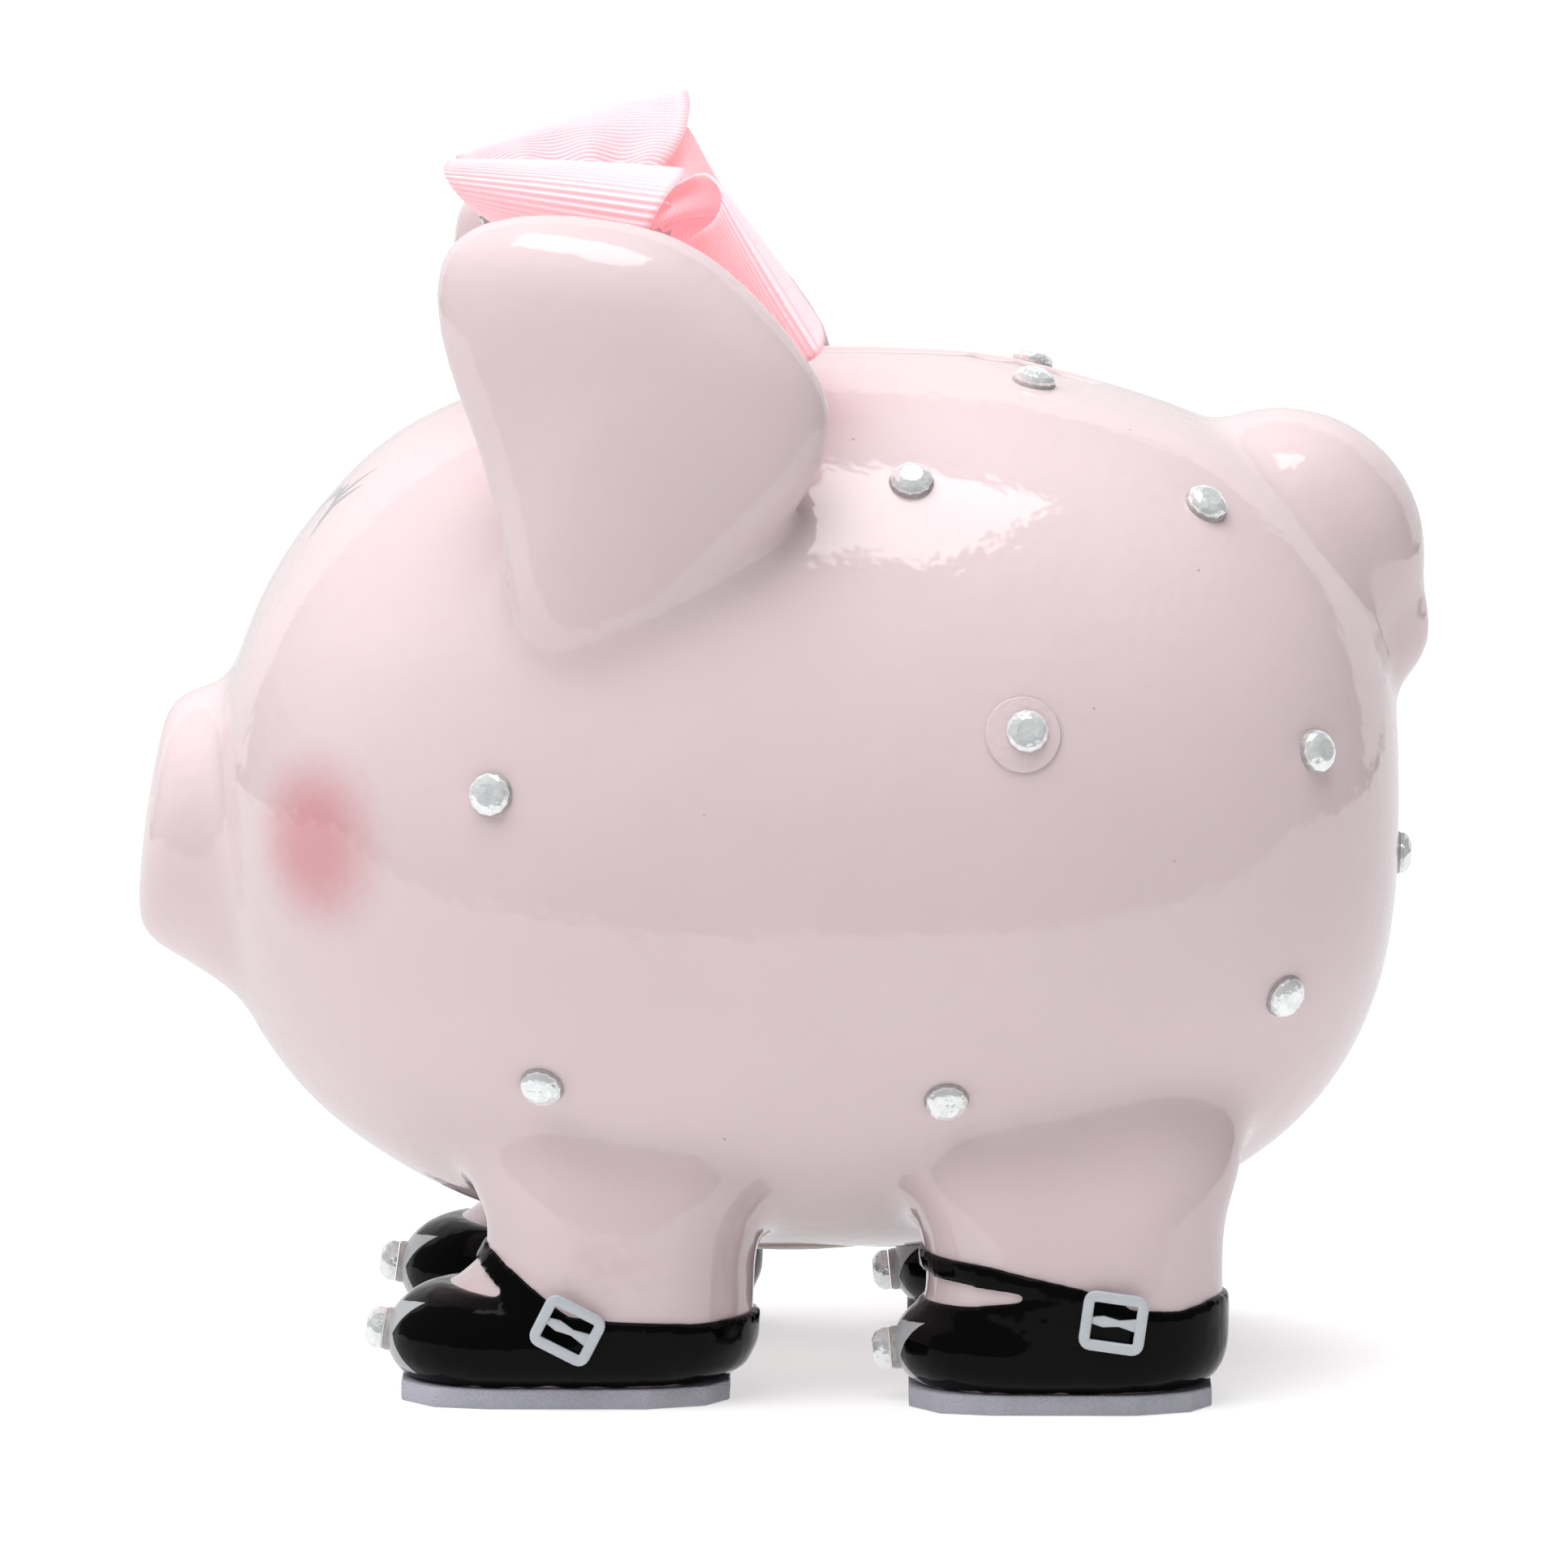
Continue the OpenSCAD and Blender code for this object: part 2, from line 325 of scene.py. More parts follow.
class Finish:
    """A material: node() adds any node, and set() feeds the surface shader."""

    def __init__(self, name):
        self.material = bpy.data.materials.new(name)
        self.material.use_nodes = True
        self.tree = self.material.node_tree
        self.shader = self.tree.nodes["Principled BSDF"]

    def feed(self, socket, value):
        """Links a wrapped value to an input, or sets a constant on it."""
        if isinstance(value, Wire):
            self.tree.links.new(value.socket, socket)
        elif hasattr(socket.default_value, "__len__") and len(socket.default_value) == 4:
            socket.default_value = (*value[:3], 1)
        else:
            socket.default_value = value

    def node(self, kind, settings, sockets, output=0):
        """Any node: its type, its settings, then its inputs by name."""
        made = self.tree.nodes.new(kind)
        for key, value in settings.items():
            setattr(made, key, value)
        for key, value in sockets.items():
            self.feed(made.inputs[key], value)
        return Wire(self, made.outputs[output])

    def set(self, **sockets):
        """Inputs of the main shader, by name with underscores for spaces."""
        for key, value in sockets.items():
            self.feed(self.shader.inputs[key.replace("_", " ")], value)

    def object_place(self, centre=(0, 0, 0), turn=(0, 0, 0), scale=(1000, 1000, 1000)):
        """Object coordinates in millimetres from a centre given in metres."""
        made = self.node("ShaderNodeTexCoord", {}, {}, "Object")
        moved = self.node("ShaderNodeVectorMath", {"operation": "SUBTRACT"}, {0: made, 1: centre})
        return self.node("ShaderNodeMapping", {}, {"Vector": moved, "Rotation": turn, "Scale": scale})

    def split(self, place):
        """The x, y and z of a vector."""
        first = self.node("ShaderNodeSeparateXYZ", {}, {"Vector": place})
        made = first.socket.node
        return [Wire(self, made.outputs[i]) for i in range(3)]

    def length(self, place):
        """How long a vector is."""
        return self.node("ShaderNodeVectorMath", {"operation": "LENGTH"}, {0: place}, "Value")

    def mix(self, mask, first, second):
        """The first colour where the mask is 0 and the second where it is 1."""
        made = self.tree.nodes.new("ShaderNodeMix")
        made.data_type = "RGBA"
        self.feed(made.inputs["Factor"], mask)
        self.feed(made.inputs[6], first)
        self.feed(made.inputs[7], second)
        return Wire(self, made.outputs[2])

    def noise(self, place, scale, detail=2):
        """Soft noise from 0 to 1, with its scale in cells a millimetre."""
        return self.node("ShaderNodeTexNoise", {}, {"Vector": place, "Scale": scale, "Detail": detail})

    def bump(self, height, distance, strength=1):
        """Height is 0 to 1, and distance is how far 1 stands proud, in metres."""
        self.set(Normal=self.node("ShaderNodeBump", {}, {"Height": height, "Distance": distance,
                                                         "Strength": strength}, "Normal"))


def star_edge(across, up, tip, waist):
    """How far a five-pointed star reaches in each direction, with one point towards minus across."""
    fifth = 2 * pi / 5
    half = fifth / 2
    angle = up.math("ARCTAN2", across) + (pi + half)
    turn = abs(angle.math("FLOORED_MODULO", fifth) - half)
    return tip * waist * sin(half) / ((half - turn).math("SINE") * waist + turn.math("SINE") * tip)


# ---------------------------------------------------------------- materials


def pink_glaze(colors):
    """Pale pink under a clear glaze, with the blush and the face painted below it."""
    finish = Finish("pink_glaze")
    place = finish.object_place()
    x, y, z = finish.split(place)
    cloud = finish.noise(place, 0.035, 3)
    color = finish.mix(cloud.fade(0.3, 0.7), colors.skin, [c * 0.975 for c in colors.skin])
    # A few tiny brown specks fired into the glaze
    speck = finish.node("ShaderNodeTexVoronoi", {"feature": "F1"},
                        {"Vector": place, "Scale": 0.075}, "Distance")
    color = finish.mix(speck.fade(0.016, 0.026) * 0.45, color, colors.speck)
    # Blown blush on both cheeks
    cheek = abs(x)
    made = finish.node("ShaderNodeCombineXYZ", {}, {"X": cheek, "Y": y, "Z": z})
    offset = finish.node("ShaderNodeVectorMath", {"operation": "SUBTRACT"}, {0: made, 1: (47.7, -71.5, 86.4)})
    spray = finish.length(offset) + (finish.noise(place, 0.5, 4) - 0.5) * 3
    color = finish.mix(spray.fade(3, 17.5) * 0.75, color, colors.blush)
    # Closed eyes with two lashes each, painted in grey
    color = finish.mix(painted_face(cheek, y, z), color, colors.paint)
    finish.set(Base_Color=color)
    finish.set(Roughness=0.055 + finish.noise(place, 0.2, 2) * 0.03)
    finish.set(IOR=1.5)
    finish.set(Coat_Weight=0.35)
    finish.set(Coat_Roughness=0.03)
    finish.set(Subsurface_Weight=0.12)
    finish.set(Subsurface_Radius=(0.004, 0.0022, 0.0018))
    finish.set(Subsurface_Scale=1.0)
    waves = finish.noise(place, 0.045, 1) * 0.8 + finish.noise(place, 0.35, 1) * 0.2
    finish.bump(waves, 0.00055)
    return finish.material


def stroke(across, up, start, end, half_width):
    """A tapering brush stroke between two places on the face, seen from the front."""
    run = Vector(end) - Vector(start)
    along_it = ((across - start[0]) * run.x + (up - start[1]) * run.y) / run.length_squared
    held = along_it.math("MAXIMUM", 0).math("MINIMUM", 1)
    dx = across - start[0] - held * run.x
    dz = up - start[1] - held * run.y
    gap = (dx * dx + dz * dz).math("SQRT")
    reach = half_width * (1.15 - held * 0.9)
    return (reach - gap).fade(0.25, -0.05)


def painted_face(across, y, z):
    """The closed eyes and the mouth, painted on the front of the head."""
    lid = [(4.2, 133.6), (6.8, 136.2), (10.5, 136.8), (13.7, 134.4), (15.7, 130.2)]
    strokes = [(a, b, 1.1) for a, b in zip(lid, lid[1:])]
    strokes += [((13.5, 134.5), (17.4, 138.4), 0.9), ((12.2, 135.6), (15.4, 140.8), 0.9)]
    mask = None
    for start, end, half_width in strokes:
        made = stroke(across, z, start, end, half_width)
        mask = made if mask is None else mask.math("MAXIMUM", made)
    smile_gap = abs(((across * across) + (z - 78) * (z - 78)).math("SQRT") - 27)
    smile = (0.65 - smile_gap).fade(0.25, -0.05) * across.fade(11, 12.5) * z.fade(60, 61)
    mask = mask.math("MAXIMUM", smile)
    return mask * y.fade(-56, -54)


def shoe_glaze(colors, foot):
    """Black glaze, with a star on the toe and bare skin colour at the foot of the shoe."""
    finish = Finish("black_glaze_" + foot.name)
    place = finish.object_place(centre=mm(foot.x, foot.toe_y, foot.star_z))
    x, _, z = finish.split(place)
    far = finish.length(place)
    edge = star_edge(x, z * 1.25, 12.5, 6.0)
    wobble = (finish.noise(place, 0.5, 2) - 0.5) * 0.8
    star = (edge + wobble - far).fade(0.3, 0)
    rough = finish.noise(place, 0.3, 3)
    color = finish.mix(star, colors.shoe, colors.star)
    low = (z + foot.star_z + (finish.noise(place, 0.25, 1) - 0.5) * 1.2).fade(3.1, 3.4)
    color = finish.mix(low, color, colors.skin)
    finish.set(Base_Color=color)
    finish.set(Roughness=0.06 + rough * 0.06)
    finish.set(IOR=1.5)
    finish.set(Specular_IOR_Level=0.09)
    finish.bump(finish.noise(place, 0.16, 2), 0.0003)
    return finish.material


def painted_metal(colors):
    """Silver paint on the buckles."""
    finish = Finish("buckle_paint")
    place = finish.object_place()
    shade = finish.noise(place, 0.6, 3)
    color = finish.mix(shade, colors.buckle, [c * 0.86 for c in colors.buckle])
    finish.set(Base_Color=color, Roughness=0.16 + shade * 0.1, IOR=1.5, Coat_Weight=0.5)
    finish.bump(finish.noise(place, 0.4, 2), 0.00025)
    return finish.material


def foam(colors):
    """Grey cell foam, cut by hand."""
    finish = Finish("sole_foam")
    place = finish.object_place()
    cells = finish.node("ShaderNodeTexVoronoi", {"feature": "F1"},
                        {"Vector": place, "Scale": 2.6}, "Distance")
    cloud = finish.noise(place, 0.25, 4)
    color = finish.mix(cloud, colors.pad, [c * 0.8 for c in colors.pad])
    finish.set(Base_Color=finish.mix(cells * 0.3, color, [c * 0.7 for c in colors.pad]))
    finish.set(Roughness=0.82 + cloud * 0.12)
    finish.bump(cells * 0.6 + finish.noise(place, 3.0, 2) * 0.4, 0.00025)
    return finish.material


def rubber(colors):
    """Dull pale rubber."""
    finish = Finish("stopper_rubber")
    place = finish.object_place()
    cloud = finish.noise(place, 0.3, 4)
    finish.set(Base_Color=finish.mix(cloud, colors.stopper, [c * 0.9 for c in colors.stopper]))
    finish.set(Roughness=0.42 + cloud * 0.15, Subsurface_Weight=0.25, Subsurface_Scale=0.004)
    finish.bump(finish.noise(place, 1.6, 3), 0.00012)
    return finish.material


def crystal_glass():
    """Clear cut glass over a foil back, so every facet mirrors."""
    finish = Finish("crystal")
    place = finish.object_place()
    cells = finish.node("ShaderNodeTexVoronoi", {"feature": "F1"}, {"Vector": place, "Scale": 0.9}, "Color")
    tint = finish.node("ShaderNodeSeparateColor", {}, {"Color": cells}, 0)
    finish.set(Base_Color=finish.mix(tint, (0.97, 0.98, 0.98), (0.80, 0.84, 0.84)))
    finish.set(Metallic=0.5, Roughness=0.07 + tint * 0.05, Coat_Weight=1.0, Coat_Roughness=0.02, Coat_IOR=1.6)
    finish.bump(finish.noise(place, 0.9, 2), 0.0002)
    return finish.material


def glue():
    """Dried glue under a stone, coloured dark: partly the glue's own colour, partly painted shade under the
    stone's edge.
    """
    finish = Finish("stone_glue")
    place = finish.object_place()
    cloud = finish.noise(place, 1.2, 3)
    # Dark grey-brown: the glue's own colour with painted shade under the stone
    finish.set(Base_Color=finish.mix(cloud, (0.22, 0.20, 0.195), (0.50, 0.46, 0.45)))
    finish.set(Roughness=0.25 + cloud * 0.15, Coat_Weight=0.3)
    finish.bump(cloud, 0.0002)
    return finish.material


def clear_glue():
    """A wide spill of clear glue, in the colour of the skin under it."""
    finish = Finish("clear_glue")
    place = finish.object_place()
    cloud = finish.noise(place, 0.8, 3)
    finish.set(Base_Color=finish.mix(cloud, (0.61, 0.50, 0.515), (0.57, 0.465, 0.48)))
    finish.set(Roughness=0.08 + cloud * 0.06, Coat_Weight=0.6)
    finish.bump(cloud, 0.0002)
    return finish.material


def ribbon_cloth(colors, pitch):
    """Grosgrain: its UV map runs in metres, u along the ribbon and v across it."""
    finish = Finish("ribbon")
    uv = finish.node("ShaderNodeUVMap", {"uv_map": "cloth"}, {})
    u, v, _ = finish.split(uv)
    rib = (u * (2 * pi / pitch)).math("COSINE") * 0.5 + 0.5
    warp = (v * (2 * pi / (pitch * 0.42))).math("SINE") * 0.5 + 0.5
    cloud = finish.noise(finish.object_place(), 0.1, 3)
    # Random cloudy tone, and painted shade in the grooves between the ribs
    color = finish.mix(cloud * 0.25 + (1 - rib) * 0.3, colors.ribbon, colors.ribbon_painted_shade)
    finish.set(Base_Color=color)
    finish.set(Roughness=0.62 - rib * 0.12)
    finish.set(Sheen_Weight=0.3, Sheen_Roughness=0.4)
    # Painted light: the cloth glows in its own colour, brightening its shaded insides in place of light
    # coming through the thin cloth
    finish.set(Emission_Color=color, Emission_Strength=0.32)
    finish.set(Subsurface_Weight=0.3, Subsurface_Radius=(0.003, 0.0016, 0.0014), Subsurface_Scale=0.5)
    finish.bump(rib * 0.6 + warp * rib * 0.4, 0.00012)
    return finish.material


def silver_plate():
    """Bright plated metal."""
    finish = Finish("silver")
    place = finish.object_place()
    cloud = finish.noise(place, 0.7, 4)
    finish.set(Base_Color=finish.mix(cloud, (0.86, 0.84, 0.80), (0.66, 0.63, 0.58)))
    finish.set(Metallic=0.75, Roughness=0.2 + cloud * 0.14)
    finish.bump(cloud, 0.00008)
    return finish.material


# ---------------------------------------------------------------- the casting


def body_outline(inset, steps=72):
    """Half of the body's outline, from its nose end to its rump end: two half superellipses."""
    points = [(0, inset - FACE_LEN)]
    for i in range(1, steps):
        t = pi * i / steps
        length, power = (FACE_LEN, 2 / FACE_FULLNESS) if t < pi / 2 else (RUMP_LEN, 2 / RUMP_FULLNESS)
        away = (length - inset) * abs(cos(t)) ** power
        points.append(((BODY_RADIUS - inset) * sin(t) ** power, -away if t < pi / 2 else away))
    return points + [(0, RUMP_LEN - inset)]


def snout_form():
    """The snout, with its disc tipped up and a flared root that sinks into the face."""
    tilt = radians(8)
    axis = Vector((0, -cos(tilt), sin(tilt)))
    profile = [(0, -34), (30, -34), (31, -24), (26.4, -17), (23.8, -12), (22, -8), (20.9, -5.2),
               (20.1, -3.2), (18.8, -1.2), (16.4, 0.2), (13, 0.6), (9, 0.95), (0, 1.3)]
    rounded = [along([Vector(p) for p in profile[2:]], k / 40) for k in range(41)]
    profile = profile[:2] + [tuple(p) for p in rounded[:-1]] + profile[-1:]
    return turned("snout_form", profile, (0, BODY_LOW.y + 2.2, 85.6), axis, 96)


def ear_form(side):
    """A crowned leaf: its rim is drawn once, then drawn in towards the middle on both faces."""
    rim = [Vector(p) for p in (
        (-50.5, 179), (-52.8, 173.5), (-52.6, 166.5), (-50.4, 158), (-47, 148.5), (-43.4, 136),
        (-40.4, 122), (-34, 113), (-22, 115.5), (-8, 126.5), (4.4, 140.5), (7.9, 151), (5.6, 159),
        (-3.8, 171), (-15.8, 179.8), (-32, 183.2), (-44.5, 182.4))]
    x = SIDES[side] * EAR_X
    count = 72
    points = [mm(x, *along(rim, k / count, closed=True)) for k in range(count)]
    middle = mm(x, -23, 165)
    obj = ring(side + "_ear_form", points)
    steps = 12
    for face, height in ((1, 14.5), (-1, 7.5)):
        pick(obj, lambda p: abs(p.x - x) < 0.01)
        bpy.ops.mesh.select_mode(type="EDGE")
        scale, reach = 1.0, 0.0
        for k in range(1, steps + 1):
            angle = pi / 2 * k / steps
            new_scale = max(cos(angle), 0.02) ** (2 / 2.1)
            new_reach = height * sin(angle) ** (2 / 2.1)
            step = SIDES[side] * face * (new_reach - reach) * MM
            bpy.ops.mesh.extrude_edges_move(TRANSFORM_OT_translate={"value": (step, 0, 0)})
            factor = new_scale / scale
            bpy.ops.transform.resize(value=(1, factor, factor), center_override=middle)
            scale, reach = new_scale, new_reach
        bpy.ops.mesh.edge_face_add()
    close_up(obj)
    # The ear leans in towards the top of the head
    root = mm(x, 0, 125)
    lean = Matrix.Rotation(radians(-EAR_LEAN) * SIDES[side], 4, "Y")
    obj.data.transform(Matrix.Translation(root) @ lean @ Matrix.Translation(-root))
    return obj


def tail_form():
    """One fat curl: a bun, its tucked end, and the groove between the turns."""
    low, high = box_mm("tail")
    radius = (high.x - low.x) / 2 + 0.8
    bun = Vector((0, high.y - radius, high.z + 0.6 - radius))
    steps = 24
    arc = [(radius * sin(pi * k / steps), -radius * cos(pi * k / steps)) for k in range(steps + 1)]
    small = [(r / 2, t / 2) for r, t in arc]
    return [turned("tail_bun", arc, bun, (1, 0, 0), 48),
            turned("tail_end", small, bun + Vector((0, 12.3, -11.2)), (1, 0, 0), 40)]


class Foot:
    """The places that one shoe, its leg and its pad share, in millimetres, read from the CAD nodes."""

    def __init__(self, end, side):
        self.name = end + "_" + side
        self.front = end == "front"
        self.side = SIDES[side]
        pad_low, pad_high = box_mm(self.name + "_sole_pad")
        self.x = (pad_low.x + pad_high.x) / 2
        self.toe_y = pad_low.y - PAD_INSET
        self.heel_y = pad_high.y + PAD_INSET
        self.radius = (pad_high.x - pad_low.x) / 2 + PAD_INSET
        self.sole_z = pad_high.z
        self.top_z = 18.2 if self.front else 17.0
        self.leg_radius = self.radius - 0.6
        self.leg_half = 2.5 if self.front else 5.2
        self.star_z = 10.2 if self.front else 7.7


GLAZE = 0.9
FEET = [Foot(end, side) for end in ("front", "rear") for side in SIDES]


def foot_form(foot):
    """The cast foot inside the shoe's glaze: a long round-ended last with an instep."""
    r = foot.radius - GLAZE
    low, high = foot.sole_z + GLAZE, foot.top_z - GLAZE
    waist = 9.4
    curve = [radians(15 * k) for k in range(7)]
    profile = [(0, low), (r - 5.2, low)]
    profile += [(r - 5.2 + 5.2 * sin(a), low + (waist - low) * (1 - cos(a))) for a in curve[1:]]
    profile += [(r - 10 + 10 * cos(a), waist + (high - waist) * sin(a)) for a in curve[1:]]
    profile += [(0, high + 0.5)]
    toe = foot.toe_y + foot.radius
    last = turned("foot_form", profile, (foot.x, toe, 0), UP, 64)
    lengthened(last, toe, foot.heel_y - foot.radius - toe)
    return last


def instep_form(foot):
    """The sloping top of the foot, from the toes up to the ankle."""
    if not foot.front:
        return []
    curve = [pi * k / 16 for k in range(17)]
    profile = [(15.5 * sin(a), -11.5 * cos(a)) for a in curve]
    return [turned("instep_form", profile, (foot.x, foot.toe_y + 24.5, 12.6), UP, 40)]


def leg_form(foot):
    """A stub, longer than it is wide, that flares into the belly."""
    r = foot.leg_radius - (0.1 if foot.front else 0.4)
    flare = 1.0 if foot.front else 0.4
    profile = [(0, 5), (r - 2, 5), (r, 9), (r, 22), (r + 0.2 * flare, 26), (r + 0.7 * flare, 29),
               (r + 1.4 * flare, 32), (r + 2.4 * flare, 35), (r + 4 * flare, 38), (r + 4 * flare, 46),
               (r - 4, 58), (r - 8, 70), (0, 72)]
    middle = foot.heel_y - foot.leg_radius - 2 * foot.leg_half + (1.2 if foot.front else -0.3)
    leg = lengthened(turned("leg_form", profile, (foot.x, middle, 0), UP, 64), middle, 2 * foot.leg_half)
    # Higher up, the leg spreads under the belly, most where it faces the other leg, and leans in
    edit(leg)
    half = middle + foot.leg_half
    arch = 1 if foot.front else -1
    for way, spreads in ((arch, ((20, 0.3), (23, 0.6), (26, 1.0), (29, 1.3), (32, 1.4))),
                         (-arch, ((28, 0.4), (31, 0.7), (34, 0.9)))):
        for height, spread in spreads:
            pick(leg, lambda p: p.z > height and way * (p.y - half) > 0.1)
            bpy.ops.transform.translate(value=(0, way * spread * MM, 0))
    for height, lean in ((25, 0.4), (29, 0.9), (33, 1.8), (37, 2.6), (45, 4), (57, 4), (69, 3)):
        pick(leg, lambda p: p.z > height)
        bpy.ops.transform.translate(value=(-foot.side * lean * MM, 0, 0))
    return place(leg)


def slot_cutter(sizes):
    """A round-ended bar that stands in the coin slot."""
    low, high = (Vector(corner) / MM for corner in
                 next(o for o in frame["record"]["physics"]["openings"] if o["name"] == "coin_slot")["box_m"])
    middle_y = (low.y + high.y) / 2
    half_w, half_l = sizes.slot_width / 2 / MM, sizes.slot_length / 2 / MM
    curve = [radians(15 * k) for k in range(13)]
    outline = [(half_w * cos(a), half_l - half_w + half_w * sin(a)) for a in curve]
    outline += [(-x, -y) for x, y in outline]
    floor = BODY_HIGH.z - 12
    bar = ring("slot_cutter", [mm(x, middle_y + y, floor) for x, y in outline])
    bpy.ops.mesh.edge_face_add()
    bpy.ops.mesh.extrude_region_move(TRANSFORM_OT_translate={"value": (0, 0, 20 * MM)})
    return close_up(bar)


def upright(name, radius, low, high):
    """A plain round cutter on the stopper's axis."""
    return turned(name, [(0, low), (radius, low), (radius, high), (0, high)], (0, BODY_Y, 0), UP, 96)


def body_form():
    """The round body, a little flatter over the eyes and in front of the tail."""
    body = turned("body_form", body_outline(0), (0, BODY_Y, BODY_Z), (0, 1, 0), 160)
    edit(body)
    for spot, near, shift, reach in ((Vector((0, -79.5, 122)), 9, (0, 1.6, -0.8), 26),
                                     (Vector((0, -79, 51)), 9, (0, -0.9, 0), 22),
                                     (Vector((0, 56, 152)), 7, (0, 0, -1.6), 24)):
        pick(body, lambda p: (p - spot).length < near)
        bpy.ops.transform.translate(value=Vector(shift) * MM, use_proportional_edit=True,
                                    proportional_edit_falloff="SMOOTH", proportional_size=reach * MM)
    return place(body)


def casting(sizes):
    """The glazed body, snout, ears, tail and legs as one hollow skin."""
    centre = (0, BODY_Y, BODY_Z)
    forms = [body_form()]
    forms += [snout_form(), ear_form("left"), ear_form("right"), *tail_form()]
    for foot in FEET:
        forms += [foot_form(foot), leg_form(foot), *instep_form(foot)]
    skin = cast(joined("skin", forms), sizes.skin_grain, sizes.cast_rounding)
    # The legs run into the belly in a wide hollow
    edit(skin)
    pick(skin, lambda p: 24 < p.z < 58)
    bpy.ops.object.vertex_group_assign_new()
    bpy.ops.object.mode_set(mode="OBJECT")
    modified(skin, "SMOOTH", factor=0.5, iterations=sizes.hollow_rounding,
             vertex_group=skin.vertex_groups[0].name)
    only(skin)
    bpy.ops.object.vertex_group_remove(all=True)
    boolean(skin, slot_cutter(sizes))
    cast(skin, sizes.skin_grain, sizes.glaze_rounding)
    # The stopper's ring keeps its thickness when the wall is hollowed out
    stopper_low, stopper_high = box_mm("belly_stopper")
    flange = (stopper_high.x - stopper_low.x) / 2
    seat_z = BODY_LOW.z + STOPPER_SEAT_DEPTH
    hollow = turned("hollow", body_outline(WALL, 48), centre, (0, 1, 0), 96)
    boolean(hollow, upright("boss", flange + 2.5, BODY_LOW.z, seat_z + 6))
    boolean(skin, hollow)
    boolean(skin, upright("stopper_hole", flange - 3, BODY_LOW.z - 2, seat_z + 8))
    boolean(skin, upright("stopper_seat", flange + 0.75, BODY_LOW.z - 2, seat_z))
    return smooth(skin, 50)


# ---------------------------------------------------------------- shoes


def shoe_regions(foot):
    """Where the black glaze lies, seen from the side: below the top line, and along the strap."""
    heel, toe = foot.heel_y + 6, foot.toe_y - 6
    if foot.front:
        line = [(heel, 13.6), (-12.9, 13.2), (-26.2, 13.9), (-34, 14.6), (-42, 16.6), (-47, 17.2),
                (-53, 18), (-57.1, 18.2), (toe, 24)]
        strap = [(-53, 29.9), (-45.2, 24), (-36.3, 17.2), (-30, 12.5), (-36, 10.5), (-42.2, 17.1),
                 (-47.6, 22.2), (-55, 28.6)]
    else:
        line = [(heel, 17.6), (66.6, 17.2), (61, 15.9), (55.8, 16.2), (46, 17), (37.5, 17.8),
                (28.2, 16.5), (20.5, 16.3), (17.5, 18.6), (toe, 24)]
        strap = [(10, 24.8), (21.8, 23.8), (31.6, 22.9), (45.6, 19.7), (52, 17.5), (52, 12), (38, 18.6),
                 (22.2, 20.4), (10, 21.4)]
    upper = [(heel, -2), *line, (toe, -2)]
    width = foot.radius + 8
    return [slab("upper_region", upper, foot.x, width), slab("strap_region", strap, foot.x, width)]


def shoe(foot, sizes):
    """The shoe stands proud of the foot by its glaze, cut to its top line and its strap."""
    grown = joined("grown", [foot_form(foot), leg_form(foot), *instep_form(foot)])
    top = slab("shoe_top", [(foot.toe_y - 9, -5), (foot.heel_y + 9, -5), (foot.heel_y + 9, 33),
                            (foot.toe_y - 9, 33)], foot.x, foot.radius + 9)
    cast(grown, 0.9 * MM, 14)
    modified(grown, "DISPLACE", strength=GLAZE * MM, mid_level=0)
    boolean(grown, top, "INTERSECT")
    parts = []
    for region in shoe_regions(foot):
        part = duplicate(grown, region.name)
        parts.append(boolean(part, region, "INTERSECT"))
    bpy.data.objects.remove(grown)
    made = joined(foot.name + "_shoe_glaze", parts)
    return cast(made, sizes.shoe_grain, 3)


def buckle(foot):
    """A square frame with round corners and a pointed prong, laid on the shoe's outer side."""
    long, tall, bar, thick, corner = 10.0, 8.6 if foot.front else 9.2, 1.7, 1.5, 1.8
    outline = []
    for across, up, start in ((1, 1, 0), (-1, 1, 90), (-1, -1, 180), (1, -1, 270)):
        centre = (across * (long / 2 - corner), up * (tall / 2 - corner))
        outline += [(centre[0] + corner * cos(radians(start + 22.5 * k)),
                     centre[1] + corner * sin(radians(start + 22.5 * k))) for k in range(5)]
    obj = ring("buckle_frame", [mm(0, y, z) for y, z in outline])
    bpy.ops.mesh.edge_face_add()
    bpy.ops.mesh.inset(thickness=bar * MM)
    bpy.ops.mesh.delete(type="FACE")
    bpy.ops.mesh.select_all(action="SELECT")
    bpy.ops.mesh.extrude_region_move(TRANSFORM_OT_translate={"value": (thick * MM, 0, 0)})
    close_up(obj)
    # The prong reaches from the rear bar over the window, and narrows to a flat point
    inner = long / 2 - bar
    prong_edge = [(inner + 0.4, -1.1), (inner + 0.4, 1.1), (0.8, 0.5), (-1.6, 0.9),
                  (-inner - 0.3, 0.5), (-inner - 0.3, -0.5), (-1.6, -0.9), (0.8, -0.5)]
    prong = slab("prong", prong_edge, thick * 0.4, thick * 0.4)
    frame_piece = joined(foot.name + "_buckle", [obj, prong])
    modified(frame_piece, "BEVEL", width=0.4 * MM, segments=3, limit_method="ANGLE", angle_limit=radians(50))
    turn, middle = (-27, (-32.7, 12.7)) if foot.front else (-8, (50.4, 14.8))
    spin = Matrix.Rotation(radians(turn), 4, "X")
    shift = Matrix.Translation(mm(foot.x + foot.side * (foot.radius - 0.1), *middle))
    flip = Matrix.Scale(foot.side, 4, (1, 0, 0))
    frame_piece.data.transform(shift @ flip @ spin)
    if foot.side < 0:
        frame_piece.data.flip_normals()
    return smooth(frame_piece, 35)


